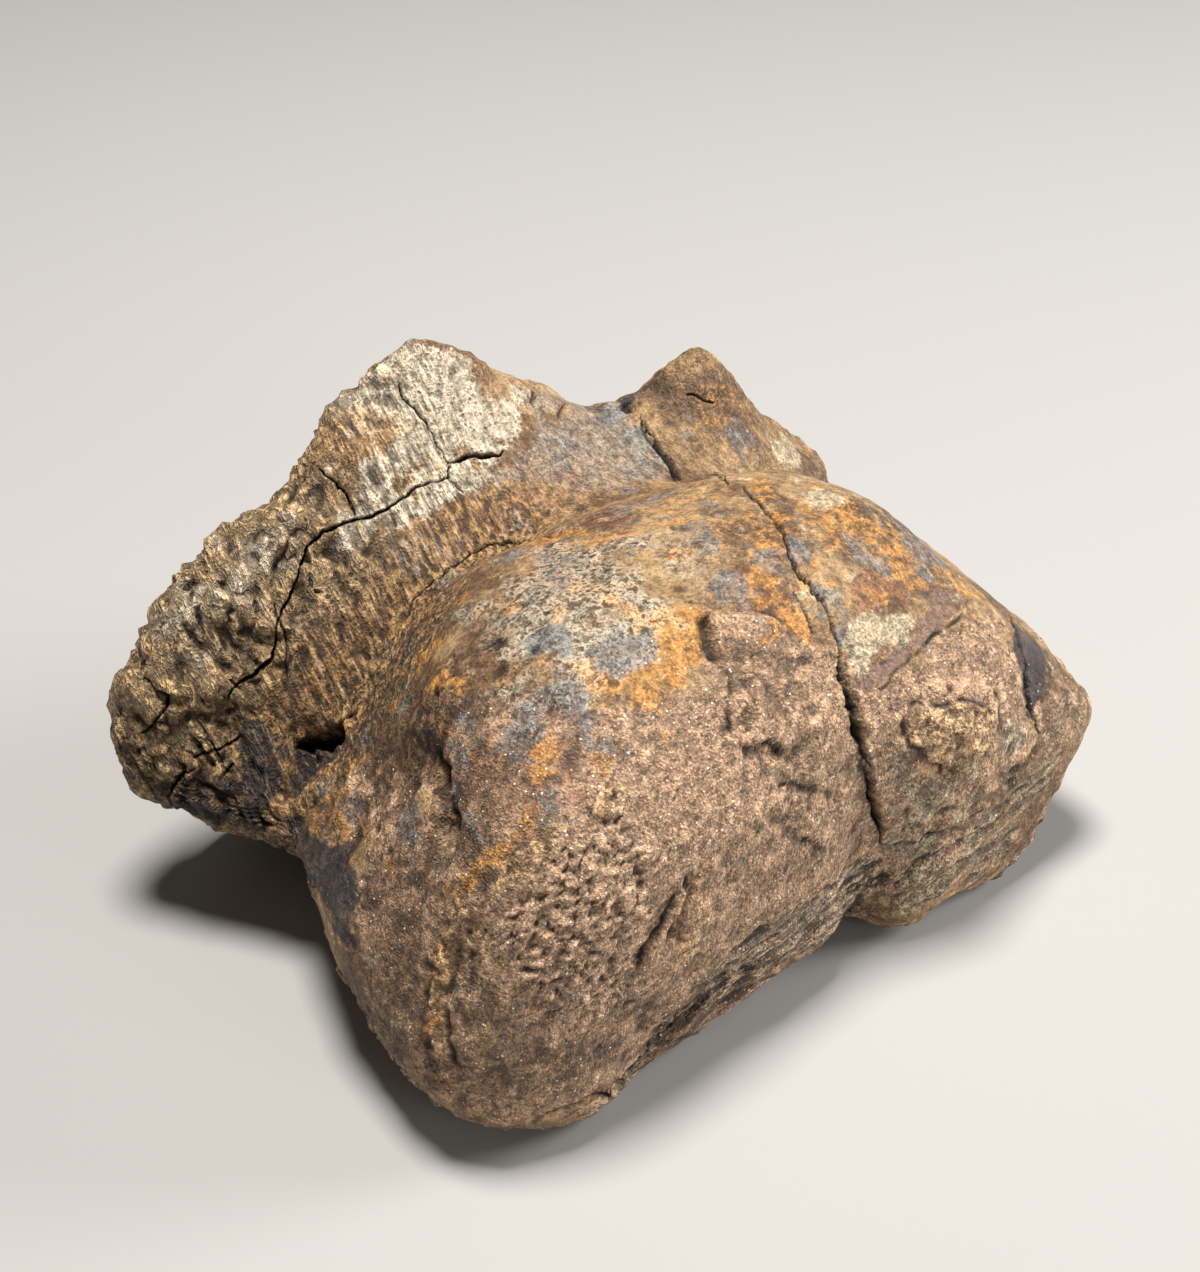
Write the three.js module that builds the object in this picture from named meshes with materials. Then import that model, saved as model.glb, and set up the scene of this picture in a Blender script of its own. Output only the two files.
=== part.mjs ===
// Fossil dinosaur toe bone: one stout foot bone, lying on its underside.
// Sizes are in millimetres. X runs from side to side, Y towards the joint face that
// sat against the foot, and Z up from the surface that the bone lies on.

import * as THREE from 'three';
import { mergeVertices } from 'three/addons/utils/BufferGeometryUtils.js';

// Driving sizes
const STEPS_ALONG = 76;
const STEPS_BETWEEN_LINES = 4;
const END_ZONE = 0.14;
const END_SETTLING = 0.5;
const END_PASSES = 12;
const RESTING_HEIGHT = 0;

// Shape lines
// Each line is a low or high line of the bone. It starts at the hollow of the left side, runs
// across the bone and ends at the hollow of the right side. Going from one line to the next
// leads once around the bone: underneath, up the rolling front end, over the top, down into
// the waist, up the flange to its rim and down the joint face at the back.
const LEFT_END = [-42, 10, 17];
const RIGHT_END = [49, 7, 15];

const HEEL = [
  [-38, 17, 9], [-37, 23, 5], [-34, 29, 2], [-22, 32, -1], [0, 32, -1], [22, 31, -1], [38, 27, 2],
  [45, 21, 4], [48, 14, 8],
];

const SOLE_MIDDLE = [
  [-40, 11, 10], [-37, 8, 6], [-30, 5, 3], [-14, 8, 4], [4, 6, 5], [24, 6, 4], [42, 7, 5],
  [47, 9, 8],
];

const SOLE_FRONT = [
  [-42, 4, 10], [-42, -8, 6], [-38, -18, 2], [-24, -23, -1], [-4, -23, 1], [10, -20, 3],
  [25, -23, -1], [38, -18, 3], [45, -8, 6], [47, 1, 8],
];

const FRONT_LOWER_EDGE = [
  [-44, 1, 12], [-46, -8, 10], [-47, -17, 8], [-46, -27, 6], [-37, -32, 3], [-25, -31, 3],
  [-9, -31, 4], [4, -31, 6], [9, -28, 5], [14, -31, 2], [24, -32, 2], [33, -32, 2], [40, -30, 9],
  [46, -20, 10], [48, -6, 10],
];

const FRONT_LOW = [
  [-45, 1, 16], [-47, -8, 15], [-48, -16, 14], [-48, -24, 14], [-44, -31, 17], [-35, -34, 19],
  [-14, -34, 16], [0, -33, 17], [9, -31, 17], [21, -34, 18], [36, -33, 17], [47, -31, 19],
  [49, -20, 16], [50, -5, 14],
];

const FRONT_HIGH = [
  [-44, 3, 19], [-46, -7, 20], [-47, -16, 20], [-45, -25, 25], [-41, -30, 30], [-32, -33, 33],
  [-17, -33, 35], [-2, -31, 35], [6, -30, 36], [14, -32, 32], [22, -33, 31], [38, -30, 27],
  [47, -25, 23], [49, -12, 19], [50, -1, 17],
];

const ROLLER_SHOULDER = [
  [-43, 4, 20], [-44, -6, 24], [-44, -15, 27], [-43, -24, 33], [-37, -27, 39], [-28, -28, 42],
  [-12, -26, 44], [0, -25, 44], [7, -25, 43], [16, -27, 39], [25, -28, 36], [36, -26, 33],
  [46, -20, 26], [49, -8, 21], [50, 2, 18],
];

const ROLLER_BROW = [
  [-42, 5, 21], [-41, -3, 26], [-40, -11, 32], [-39, -16, 37], [-34, -19, 44], [-24, -21, 47],
  [-8, -18, 49], [8, -18, 48], [20, -19, 44], [30, -17, 41], [40, -16, 33], [45, -11, 28],
  [48, -3, 23], [49, 4, 20],
];

const ROLLER_TOP = [
  [-41, 7, 22], [-38, 0, 28], [-36, -6, 34], [-33, -8, 44], [-26, -8, 48], [-15, -10, 50],
  [0, -8, 50], [14, -7, 49], [27, -8, 46], [36, -9, 38], [43, -5, 31], [47, 1, 25], [49, 5, 21],
];

const ROLLER_BACK = [
  [-40, 9, 22], [-36, 6, 28], [-31, 4, 37], [-25, 5, 42], [-17, 8, 45], [-8, 8, 46], [4, 6, 47],
  [16, 4, 47], [28, 5, 43], [38, 4, 36], [44, 5, 29], [48, 7, 22],
];

const WAIST = [
  [-40, 11, 22], [-36, 13, 26], [-30, 14, 31], [-23, 16, 36], [-15, 16, 40], [-8, 16, 41],
  [2, 15, 43], [12, 15, 42], [24, 16, 38], [36, 15, 33], [44, 11, 27], [48, 9, 21],
];

const FLANGE_FRONT = [
  [-43, 14, 20], [-46, 20, 22], [-44, 22, 29], [-37, 22, 36], [-27, 22, 40], [-16, 24, 46],
  [-8, 26, 48], [3, 24, 46], [14, 24, 43], [24, 25, 41], [34, 24, 40], [42, 22, 34], [47, 18, 26],
  [49, 12, 20],
];

const RIM = [
  [-45, 16, 18], [-49, 21, 18], [-53, 28, 20], [-52, 31, 30], [-49, 31, 35], [-45, 31, 40],
  [-41, 31, 43], [-35, 31, 46], [-27, 31, 48], [-23, 32, 52], [-20, 33, 54], [-13, 34, 58],
  [-6, 34, 60], [0, 34, 57], [6, 34, 52], [12, 33, 48], [17, 33, 44], [23, 31, 44], [29, 30, 46],
  [33, 29, 48], [39, 28, 43], [43, 28, 37], [48, 27, 32], [53, 25, 26], [54, 22, 20], [51, 14, 16],
];

const BEHIND_RIM = [
  [-43, 17, 15], [-48, 24, 14], [-50, 32, 18], [-48, 35, 25], [-43, 36, 32], [-35, 36, 39],
  [-24, 36, 45], [-15, 37, 54], [-7, 37, 56], [0, 37, 52], [7, 37, 46], [18, 36, 39], [25, 34, 40],
  [33, 33, 42], [42, 32, 34], [48, 31, 26], [53, 28, 18], [51, 15, 13],
];

const JOINT_FACE = [
  [-41, 17, 13], [-45, 26, 11], [-46, 34, 13], [-38, 34, 18], [-26, 33, 24], [-10, 32, 28],
  [10, 32, 25], [28, 32, 24], [40, 31, 20], [48, 30, 15], [51, 24, 11], [50, 15, 11],
];

const JOINT_LOWER_EDGE = [
  [-39, 17, 11], [-42, 26, 8], [-41, 34, 7], [-28, 35, 6], [0, 35, 6], [20, 34, 6], [34, 33, 7],
  [45, 30, 8], [49, 23, 8], [49, 15, 9],
];

const SHAPE_LINES = [
  HEEL, SOLE_MIDDLE, SOLE_FRONT, FRONT_LOWER_EDGE,
  FRONT_LOW, FRONT_HIGH, ROLLER_SHOULDER, ROLLER_BROW,
  ROLLER_TOP, ROLLER_BACK, WAIST, FLANGE_FRONT,
  RIM, BEHIND_RIM, JOINT_FACE, JOINT_LOWER_EDGE,
];

// Knobs and hollows
// Each one is a soft swelling of the surface, or a dip where the height is below zero.
const SWELLINGS = [
  { at: [-40, 26, 40], reach: 3.5, height: 1.2 },
  { at: [-35, 28, 44], reach: 3, height: 0.9 },
  { at: [-45, 27, 36], reach: 3, height: -0.8 },
  { at: [-48, 27, 31], reach: 3.5, height: 1.1 },
  { at: [-44, 24, 33], reach: 3, height: 1.2 },
  { at: [-39, 24, 37], reach: 2.5, height: -1 },
  { at: [-33, 27, 43], reach: 3, height: -0.7 },
  { at: [-28, 28, 46], reach: 3.5, height: 1.2 },
  { at: [-49, 24, 24], reach: 4, height: 0.9 },
  { at: [-43, 21, 28], reach: 3, height: -0.9 },
  { at: [-19, 30, 53], reach: 3.5, height: 1 },
  { at: [-13, 32, 55], reach: 3, height: -0.7 },
  { at: [-23, 27, 47], reach: 3, height: -0.8 },
  { at: [32, 28, 46], reach: 4, height: 0.8 },
  { at: [-37, 14, 26], reach: 3, height: -2.6 },
  { at: [-36, -9, 39], reach: 3, height: -1.3 },
  { at: [-40, -18, 35], reach: 3, height: -1.3 },
  { at: [-47, -8, 17], reach: 6, height: 0.7 },
  { at: [-4, -27, 42], reach: 7, height: 0.7 },
  { at: [-30, -31, 37], reach: 8, height: 0.6 },
  { at: [21, -33, 29], reach: 4, height: 0.8 },
  { at: [36, -31, 25], reach: 5, height: -0.8 },
  { at: [-32, -32, 3], reach: 5, height: 1.2 },
  { at: [-36, 33, 24], reach: 9, height: -0.8 },
  { at: [26, 33, 24], reach: 9, height: -0.8 },
];

// Cracks
// The wide ones are sunk into the surface here as shallow grooves.
const CRACKS = [
  {
    name: 'crack along the waist', width: 1.4, depth: 0.8,
    path: [[2, 6, 47], [-9, 11, 44], [-16, 17, 41], [-26, 14, 34], [-36, 14, 26]],
  },
  {
    name: 'crack across the flange', width: 1.4, depth: 0.8,
    path: [[-1, 25, 47], [-9, 25, 47], [-23, 26, 46], [-33, 23, 39], [-42, 22, 31]],
  },
  {
    name: 'crack down the rolling end', width: 1.6, depth: 1,
    path: [[15, 2, 48], [14, -8, 49], [8, -20, 47], [6, -30, 37], [9, -31, 22], [11, -31, 16]],
  },
  {
    name: 'split at the right corner', width: 1.6, depth: 0.9,
    path: [[38, -25, 32], [36, -29, 31], [35, -32, 25]],
  },
];

const FOSSIL_BROWN = new THREE.Color('#7d634b');

const vector = ([x, y, z]) => new THREE.Vector3(x, y, z);

// Evenly spaced points along one shape line, from end to end
function pointsAlong(line) {
  const curve = new THREE.CatmullRomCurve3([LEFT_END, ...line, RIGHT_END].map(vector));
  return curve.getSpacedPoints(STEPS_ALONG);
}

// Rings of points around the bone, one ring for each step from left to right
function ringsAcross() {
  const lines = SHAPE_LINES.map(pointsAlong);
  const around = lines.length * STEPS_BETWEEN_LINES;
  const rings = [];
  for (let step = 0; step <= STEPS_ALONG; step += 1) {
    const section = new THREE.CatmullRomCurve3(lines.map((line) => line[step]), true);
    rings.push(section.getPoints(around).slice(0, around));
  }
  return rings;
}

const meanOf = (points) => {
  const total = points.reduce((sum, point) => sum.add(point), new THREE.Vector3());
  return total.divideScalar(points.length);
};

// Evens out the rings towards both ends, where the lines gather
function settleEnds(rings) {
  const around = rings[0].length;
  let current = rings;
  for (let pass = 0; pass < END_PASSES; pass += 1) {
    const previous = current;
    current = previous.map((ring, step) => {
      const fromEnd = Math.min(step, STEPS_ALONG - step) / STEPS_ALONG;
      const amount = END_SETTLING * Math.max(0, 1 - fromEnd / END_ZONE);
      if (step === 0 || step === STEPS_ALONG || amount === 0) {
        return ring;
      }
      return ring.map((point, index) => {
        const neighbours = [
          previous[step - 1][index],
          previous[step + 1][index],
          ring[(index + 1) % around],
          ring[(index + around - 1) % around],
        ];
        return point.clone().lerp(meanOf(neighbours), amount);
      });
    });
    current[0] = current[0].map(() => meanOf(current[1]));
    current[STEPS_ALONG] = current[STEPS_ALONG].map(() => meanOf(current[STEPS_ALONG - 1]));
  }
  return current;
}

// Closed skin of triangles over the rings. Each end comes together in one point.
function skinOver(rings) {
  const around = rings[0].length;
  const positions = rings.flat().flatMap((point) => point.toArray());
  const faces = [];
  for (let step = 0; step < STEPS_ALONG; step += 1) {
    for (let index = 0; index < around; index += 1) {
      const next = (index + 1) % around;
      const near = step * around;
      const far = near + around;
      if (step > 0) {
        faces.push(near + index, far + index, near + next);
      }
      if (step < STEPS_ALONG - 1) {
        faces.push(near + next, far + index, far + next);
      }
    }
  }
  const geometry = new THREE.BufferGeometry();
  geometry.setAttribute('position', new THREE.Float32BufferAttribute(positions, 3));
  geometry.setIndex(faces);
  const merged = mergeVertices(geometry, 1e-4);
  merged.computeVertexNormals();
  return merged;
}

// Straight stretches of a crack, ready for measuring distances
const CRACK_STRETCHES = CRACKS.flatMap(({ path, width, depth }) => (
  path.slice(1).map((end, index) => ({
    stretch: new THREE.Line3(vector(path[index]), vector(end)),
    width,
    depth,
  }))
));

// How far the surface is raised at a point, in millimetres
function reliefAt(point) {
  let height = 0;
  for (const swelling of SWELLINGS) {
    const ratio = point.distanceTo(vector(swelling.at)) / swelling.reach;
    height += swelling.height * Math.exp(-ratio * ratio);
  }
  let groove = 0;
  const nearest = new THREE.Vector3();
  for (const { stretch, width, depth } of CRACK_STRETCHES) {
    stretch.closestPointToPoint(point, true, nearest);
    const ratio = point.distanceTo(nearest) / width;
    groove = Math.max(groove, depth * Math.exp(-ratio * ratio));
  }
  return height - groove;
}

// Raises the knobs, sinks the cracks, flattens the places the bone rests on, and brings the
// origin to the middle of the resting level
function finishSkin(geometry) {
  const position = geometry.getAttribute('position');
  const normal = geometry.getAttribute('normal');
  const point = new THREE.Vector3();
  const outwards = new THREE.Vector3();
  for (let index = 0; index < position.count; index += 1) {
    point.fromBufferAttribute(position, index);
    outwards.fromBufferAttribute(normal, index);
    point.addScaledVector(outwards, reliefAt(point));
    point.z = Math.max(point.z, RESTING_HEIGHT);
    position.setXYZ(index, point.x, point.y, point.z);
  }
  geometry.computeBoundingBox();
  const middle = geometry.boundingBox.getCenter(new THREE.Vector3());
  geometry.translate(-middle.x, -middle.y, -geometry.boundingBox.min.z);
  geometry.computeVertexNormals();
  return geometry;
}

const fossilBone = new THREE.MeshStandardMaterial({
  color: FOSSIL_BROWN,
  roughness: 0.82,
  metalness: 0,
});

const toeBone = new THREE.Mesh(finishSkin(skinOver(settleEnds(ringsAcross()))), fossilBone);
toeBone.name = 'toe_bone';

const group = new THREE.Group();
group.name = 'fossil_toe_bone';
group.add(toeBone);

export default group;
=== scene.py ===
"""Fossil dinosaur toe bone, lying on its underside on a pale studio floor.

The bone is one closed surface. Its large shape is lofted through sixteen long lines that run from
side to side, then knobs, fibres, crust, flakes and cracks raise or sink that surface. Marks that
show in the photograph are placed by named photograph pixels (1200 x 1272) through the same camera
that takes the picture, so that they lie on the surface where the photograph has them.
Lengths are in millimetres until a mesh is made, and Blender's own values are in metres.
"""

import logging
import math
from dataclasses import dataclass, field
from enum import Enum

import bpy
import numpy as np
from mathutils import Matrix, Vector
from mathutils.bvhtree import BVHTree


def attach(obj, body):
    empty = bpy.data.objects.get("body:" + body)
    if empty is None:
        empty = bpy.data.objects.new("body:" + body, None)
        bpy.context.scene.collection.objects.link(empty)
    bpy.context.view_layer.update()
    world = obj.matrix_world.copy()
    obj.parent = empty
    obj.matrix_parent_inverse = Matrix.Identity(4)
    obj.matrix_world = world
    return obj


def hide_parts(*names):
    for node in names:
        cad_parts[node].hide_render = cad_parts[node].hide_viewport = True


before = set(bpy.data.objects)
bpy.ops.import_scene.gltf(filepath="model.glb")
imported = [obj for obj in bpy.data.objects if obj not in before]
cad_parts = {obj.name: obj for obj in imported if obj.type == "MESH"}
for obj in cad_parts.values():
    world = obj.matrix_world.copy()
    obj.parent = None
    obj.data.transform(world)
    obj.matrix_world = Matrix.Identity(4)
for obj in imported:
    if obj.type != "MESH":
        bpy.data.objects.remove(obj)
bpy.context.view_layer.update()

MM = 0.001
LOG = logging.getLogger("toe_bone")

Point = tuple[float, float, float]
Pixel = tuple[float, float]
Colour = tuple[float, float, float]
Array = np.ndarray
Socket = bpy.types.NodeSocket


def smoothstep(low: float, high: float, value: Array) -> Array:
    """Eases from 0 at low to 1 at high, flat at both ends.

    Args:
        low: Value that gives 0.
        high: Value that gives 1.
        value: Numbers to ease.

    Returns:
        Eased numbers: with t the clipped share of the way, 3 t squared less 2 t cubed.
    """
    t = np.clip((value - low) / (high - low), 0.0, 1.0)
    return t * t * (3.0 - 2.0 * t)


def unit(rows: Array) -> Array:
    """Scales each row to length one.

    Args:
        rows: Vectors, one to a row.

    Returns:
        The same vectors at length one.
    """
    return rows / np.maximum(np.linalg.norm(rows, axis=-1, keepdims=True), 1e-12)


@dataclass(frozen=True)
class Grain:
    """Seeded natural irregularity, as smooth noise and as scattered cells in space."""

    seed: int = 7

    def scatter(self, cell: Array, channel: int) -> Array:
        """Gives each whole-number cell a fixed chance number.

        Args:
            cell: Whole cell coordinates, shape (n, 3).
            channel: Which of a cell's numbers is wanted.

        Returns:
            Numbers from 0 to 1, from mixing the coordinates' bits.
        """
        x, y, z = (cell[:, axis].astype(np.uint64) for axis in range(3))
        mixed = x * np.uint64(0x9E3779B1) + y * np.uint64(0x85EBCA77) + z * np.uint64(0xC2B2AE3D)
        mixed = mixed + np.uint64(self.seed * 7919 + channel * 104729)
        mixed = (mixed ^ (mixed >> np.uint64(15))) * np.uint64(0x2C1B3C6D)
        mixed = (mixed ^ (mixed >> np.uint64(12))) * np.uint64(0x297A2D39)
        mixed = (mixed ^ (mixed >> np.uint64(15))) & np.uint64(0xFFFFFF)
        return mixed.astype(float) / 0xFFFFFF

    def smooth(self, points: Array, size: float) -> Array:
        """Gradient noise with lumps of about the given size.

        Args:
            points: Places in millimetres, shape (n, 3).
            size: Distance between lumps in millimetres.

        Returns:
            Numbers from about -1 to 1: each lattice corner's slope, eased between corners.
        """
        scaled = points / size + 512.0
        low = np.floor(scaled)
        part = scaled - low
        ease = part ** 3 * (part * (part * 6.0 - 15.0) + 10.0)
        total = np.zeros(len(points))
        for corner in np.ndindex(2, 2, 2):
            offset = np.array(corner)
            cell = (low + offset).astype(np.int64)
            slope = np.stack([self.scatter(cell, axis) for axis in range(3)], axis=1) * 2.0 - 1.0
            share = np.prod(np.where(offset == 1, ease, 1.0 - ease), axis=1)
            total += share * np.einsum("ij,ij->i", slope, part - offset)
        return total * 1.6

    def layered(self, points: Array, size: float, layers: int = 3) -> Array:
        """Smooth noise with finer and weaker noise added on top.

        Args:
            points: Places in millimetres.
            size: Size of the largest lumps in millimetres.
            layers: How many sizes are added, each half the last.

        Returns:
            Numbers from about -1.5 to 1.5.
        """
        return sum(self.smooth(points + 31.7 * layer, size / 2 ** layer) / 1.9 ** layer
                   for layer in range(layers))

    def bend(self, points: Array, shifts: tuple[float, ...], size: float, layers: int = 1) -> Array:
        """Several unlike noises at each place, by which places are moved.

        Args:
            points: Places in millimetres.
            shifts: How far away each noise is read, one noise to a shift.
            size: Size of the largest lumps in millimetres.
            layers: How many sizes are added.

        Returns:
            A column of numbers from about -1 to 1 for each shift.
        """
        return np.stack([self.layered(points + shift, size, layers) for shift in shifts], axis=1)

    def cells(self, points: Array, size: float) -> tuple[Array, Array]:
        """Distance to the nearest scattered centre, and that centre's chance number.

        Args:
            points: Places in millimetres.
            size: Average distance between centres in millimetres.

        Returns:
            Distances in cell sizes, and a number from 0 to 1 for each nearest centre.
        """
        scaled = points / size + 512.0
        home = np.floor(scaled).astype(np.int64)
        nearest = np.full(len(points), 9.0)
        chance = np.zeros(len(points))
        for step in np.ndindex(3, 3, 3):
            cell = home + np.array(step) - 1
            centre = cell + np.stack([self.scatter(cell, 11 + axis) for axis in range(3)], axis=1)
            distance = np.linalg.norm(scaled - centre, axis=1)
            closer = distance < nearest
            nearest = np.where(closer, distance, nearest)
            chance = np.where(closer, self.scatter(cell, 17), chance)
        return nearest, chance

    def stretched(self, points: Array, along: Point, size: float, length: float,
                  layers: int = 2) -> Array:
        """Layered noise drawn out along one direction, as fibres are.

        Args:
            points: Places in millimetres.
            along: Direction of the fibres.
            size: Distance between fibres in millimetres.
            length: Length of a fibre in millimetres.
            layers: How many sizes are added.

        Returns:
            Numbers from about -1.5 to 1.5. The part of each place along the fibres is shrunk.
        """
        direction = np.array(along) / np.linalg.norm(along)
        reach = points @ direction
        return self.layered(points - np.outer(reach * (1.0 - size / length), direction), size, layers)


@dataclass(frozen=True)
class Viewpoint:
    """Where the photograph was taken from, measured in the bone's own frame."""

    position: Point = (-135.5, -167.4, 185.6)
    heading: float = math.radians(-38.0)
    pitch: float = math.radians(35.4)
    picture_width: int = 1200
    picture_height: int = 1272
    focal_pixels: float = 2239.2
    sensor: float = 36.0
    square_side: float = 9.0
    squares: int = 200
    turned_away: tuple[float, float] = (0.02, 0.2)
    covered: tuple[float, float] = (7.0, 4.0)

    @property
    def right(self) -> Array:
        """Direction that runs to the right in the picture."""
        return np.array([math.cos(self.heading), math.sin(self.heading), 0.0])

    @property
    def forward(self) -> Array:
        """Direction that the camera looks in."""
        level = np.array([-math.sin(self.heading), math.cos(self.heading), 0.0])
        return math.cos(self.pitch) * level - math.sin(self.pitch) * np.array([0.0, 0.0, 1.0])

    @property
    def down(self) -> Array:
        """Direction that runs down the picture."""
        return np.cross(self.forward, self.right)

    def ray(self, pixel: Array) -> Array:
        """Direction of length one in which a photograph pixel looks.

        Args:
            pixel: Photograph pixel.

        Returns:
            The direction: forward by the focal length, plus the pixel's way from the middle.
        """
        across = pixel[0] - self.picture_width / 2
        below = pixel[1] - self.picture_height / 2
        return unit(self.forward * self.focal_pixels + self.right * across + self.down * below)

    def pixels(self, points: Array) -> tuple[Array, Array]:
        """Where places fall in the photograph.

        Args:
            points: Places in millimetres, shape (n, 3).

        Returns:
            Pixels of shape (n, 2), and the distance in front of the camera. A pixel is the
            sideways part over the distance, times the focal length.
        """
        offset = points - np.array(self.position)
        depth = offset @ self.forward
        across = offset @ self.right / depth * self.focal_pixels + self.picture_width / 2
        below = offset @ self.down / depth * self.focal_pixels + self.picture_height / 2
        return np.stack([across, below], axis=1), depth

    def seen(self, points: Array, normals: Array) -> Array:
        """How well each place shows in the photograph.

        Args:
            points: Places in millimetres.
            normals: Outward directions of length one.

        Returns:
            1 where the surface faces the camera in the open, easing to 0 where it turns away or
            where something nearer by a few millimetres shows in the same small square.
        """
        facing = np.einsum("ij,ij->i", normals, unit(np.array(self.position) - points))
        pixel, depth = self.pixels(points)
        column, row = np.clip((pixel / self.square_side).astype(int), 0, self.squares - 1).T
        far_away = 1e9
        nearest = np.full((self.squares, self.squares), far_away)
        np.minimum.at(nearest, (column, row), np.where(facing > 0.0, depth, far_away))
        beyond = depth - nearest[column, row]
        return smoothstep(*self.turned_away, facing) * smoothstep(*self.covered, beyond)

    def add_camera(self) -> None:
        """Adds the scene's camera at this viewpoint."""
        data = bpy.data.cameras.new("studio_camera")
        data.sensor_fit = "AUTO"
        data.sensor_width = self.sensor
        data.lens = self.focal_pixels * self.sensor / self.picture_height
        camera = bpy.data.objects.new("studio_camera", data)
        turn = Matrix((self.right, -self.down, -self.forward)).transposed()
        camera.matrix_world = Matrix.Translation(Vector(self.position) * MM) @ turn.to_4x4()
        bpy.context.scene.collection.objects.link(camera)
        bpy.context.scene.camera = camera


VIEW = Viewpoint()
MIDDLE = (0.376, 1.187, 0.0)


def curve_through(points: Array, share: Array, closed: bool) -> Array:
    """Smooth curve through points, spaced by the square root of their distances.

    Args:
        points: Points of the curve, shape (n, ..., 3). Further axes are further curves.
        share: Places wanted, as shares of the way from 0 to 1.
        closed: Whether the curve comes back to its first point.

    Returns:
        Places on the curve, shape (len(share), ..., 3). Between two points it is the cubic whose
        slopes at both come from their neighbours, as in a centripetal Catmull-Rom curve.
    """
    count = len(points)
    reach = (count if closed else count - 1) * share
    start = np.floor(reach).astype(int)
    if closed:
        p0, p1, p2, p3 = (points[(start + step) % count] for step in (-1, 0, 1, 2))
    else:
        start = np.minimum(start, count - 2)
        ends = (2 * points[:1] - points[1:2], points, 2 * points[-1:] - points[-2:-1])
        longer = np.concatenate(ends)
        p0, p1, p2, p3 = (longer[start + step] for step in range(4))
    t = (reach - start).reshape(reach.shape + (1,) * (points.ndim - 1))
    d0, d1, d2 = (np.maximum(((b - a) ** 2).sum(axis=-1, keepdims=True) ** 0.25, 1e-4)
                  for a, b in ((p0, p1), (p1, p2), (p2, p3)))
    slope1 = ((p1 - p0) / d0 - (p2 - p0) / (d0 + d1) + (p2 - p1) / d1) * d1
    slope2 = ((p2 - p1) / d1 - (p3 - p1) / (d1 + d2) + (p3 - p2) / d2) * d1
    square = -3 * p1 + 3 * p2 - 2 * slope1 - slope2
    cube = 2 * p1 - 2 * p2 + slope1 + slope2
    return p1 + slope1 * t + square * t ** 2 + cube * t ** 3


@dataclass
class Skin:
    """A closed surface of triangles, with where each point lies on the bone's lines."""

    points: Array
    triangles: Array
    places: Array

    @property
    def around(self) -> Array:
        """Number of the shape line that each point is on or past, from 0 up to 16."""
        turn = np.arctan2(self.places[:, 1], self.places[:, 0]) / (2 * math.pi)
        return (turn % 1.0) * 16.0

    @property
    def along(self) -> Array:
        """Share of the way from the left end to the right end."""
        return self.places[:, 2]

    def normals(self) -> Array:
        """Outward direction at each point.

        Returns:
            Directions of length one: the sum of the area directions of each point's triangles.
        """
        a, b, c = (self.points[self.triangles[:, corner]] for corner in range(3))
        facing = np.cross(b - a, c - a)
        total = np.stack([
            sum(np.bincount(self.triangles[:, corner], facing[:, axis], len(self.points))
                for corner in range(3))
            for axis in range(3)], axis=1)
        return unit(total)

    def evened(self, values: Array, passes: int) -> Array:
        """Averages values with those of the neighbouring points.

        Args:
            values: One number or vector to a point.
            passes: How many times the average is taken.

        Returns:
            The evened values: each pass takes the mean over the ends of a point's edges.
        """
        ends = self.triangles[:, [0, 1, 2]].ravel()
        others = self.triangles[:, [1, 2, 0]].ravel()
        count = np.bincount(ends, minlength=len(self.points)) * 1.0
        columns = values.reshape(len(values), -1).T.copy()
        for _ in range(passes):
            columns = np.stack([np.bincount(ends, column[others], len(column)) / count
                                for column in columns])
        return columns.T.reshape(values.shape)

    def split_near(self, close: Array) -> "Skin":
        """Halves every edge whose two ends are both close, and cuts the triangles to suit.

        Args:
            close: True for each point that wants finer triangles around it.

        Returns:
            The finer skin. A triangle with one, two or three halved edges becomes two, three or
            four, so no gap opens.
        """
        count = len(self.points)
        pairs = np.stack([self.triangles, np.roll(self.triangles, -1, axis=1)], axis=2)
        key = pairs.min(axis=2) * count + pairs.max(axis=2)
        keys, inverse = np.unique(key, return_inverse=True)
        low, high = keys // count, keys % count
        halved = close[low] & close[high]
        middle = np.where(halved, count + np.cumsum(halved) - 1, -1)
        low, high = low[halved], high[halved]
        points = np.concatenate([self.points, (self.points[low] + self.points[high]) / 2])
        places = np.concatenate([self.places, (self.places[low] + self.places[high]) / 2])
        edge = middle[inverse.reshape(key.shape)]
        marked = (edge >= 0).sum(axis=1)
        turn = np.select([marked == 1, marked == 2],
                         [np.argmax(edge >= 0, axis=1), (np.argmax(edge < 0, axis=1) + 1) % 3], 0)
        order = (np.arange(3)[None, :] + turn[:, None]) % 3
        corner = np.take_along_axis(self.triangles, order, axis=1)
        edge = np.take_along_axis(edge, order, axis=1)
        a, b, c = corner.T
        ab, bc, ca = edge.T
        pieces = (
            (marked == 0, (a, b, c)),
            (marked == 1, (a, ab, c)), (marked == 1, (ab, b, c)),
            (marked == 2, (ab, b, bc)), (marked == 2, (a, ab, bc)), (marked == 2, (a, bc, c)),
            (marked == 3, (a, ab, ca)), (marked == 3, (ab, b, bc)), (marked == 3, (ca, bc, c)),
            (marked == 3, (ab, bc, ca)),
        )
        triangles = np.concatenate([np.stack(trio, axis=1)[rows] for rows, trio in pieces])
        return Skin(points, triangles, places)


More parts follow.
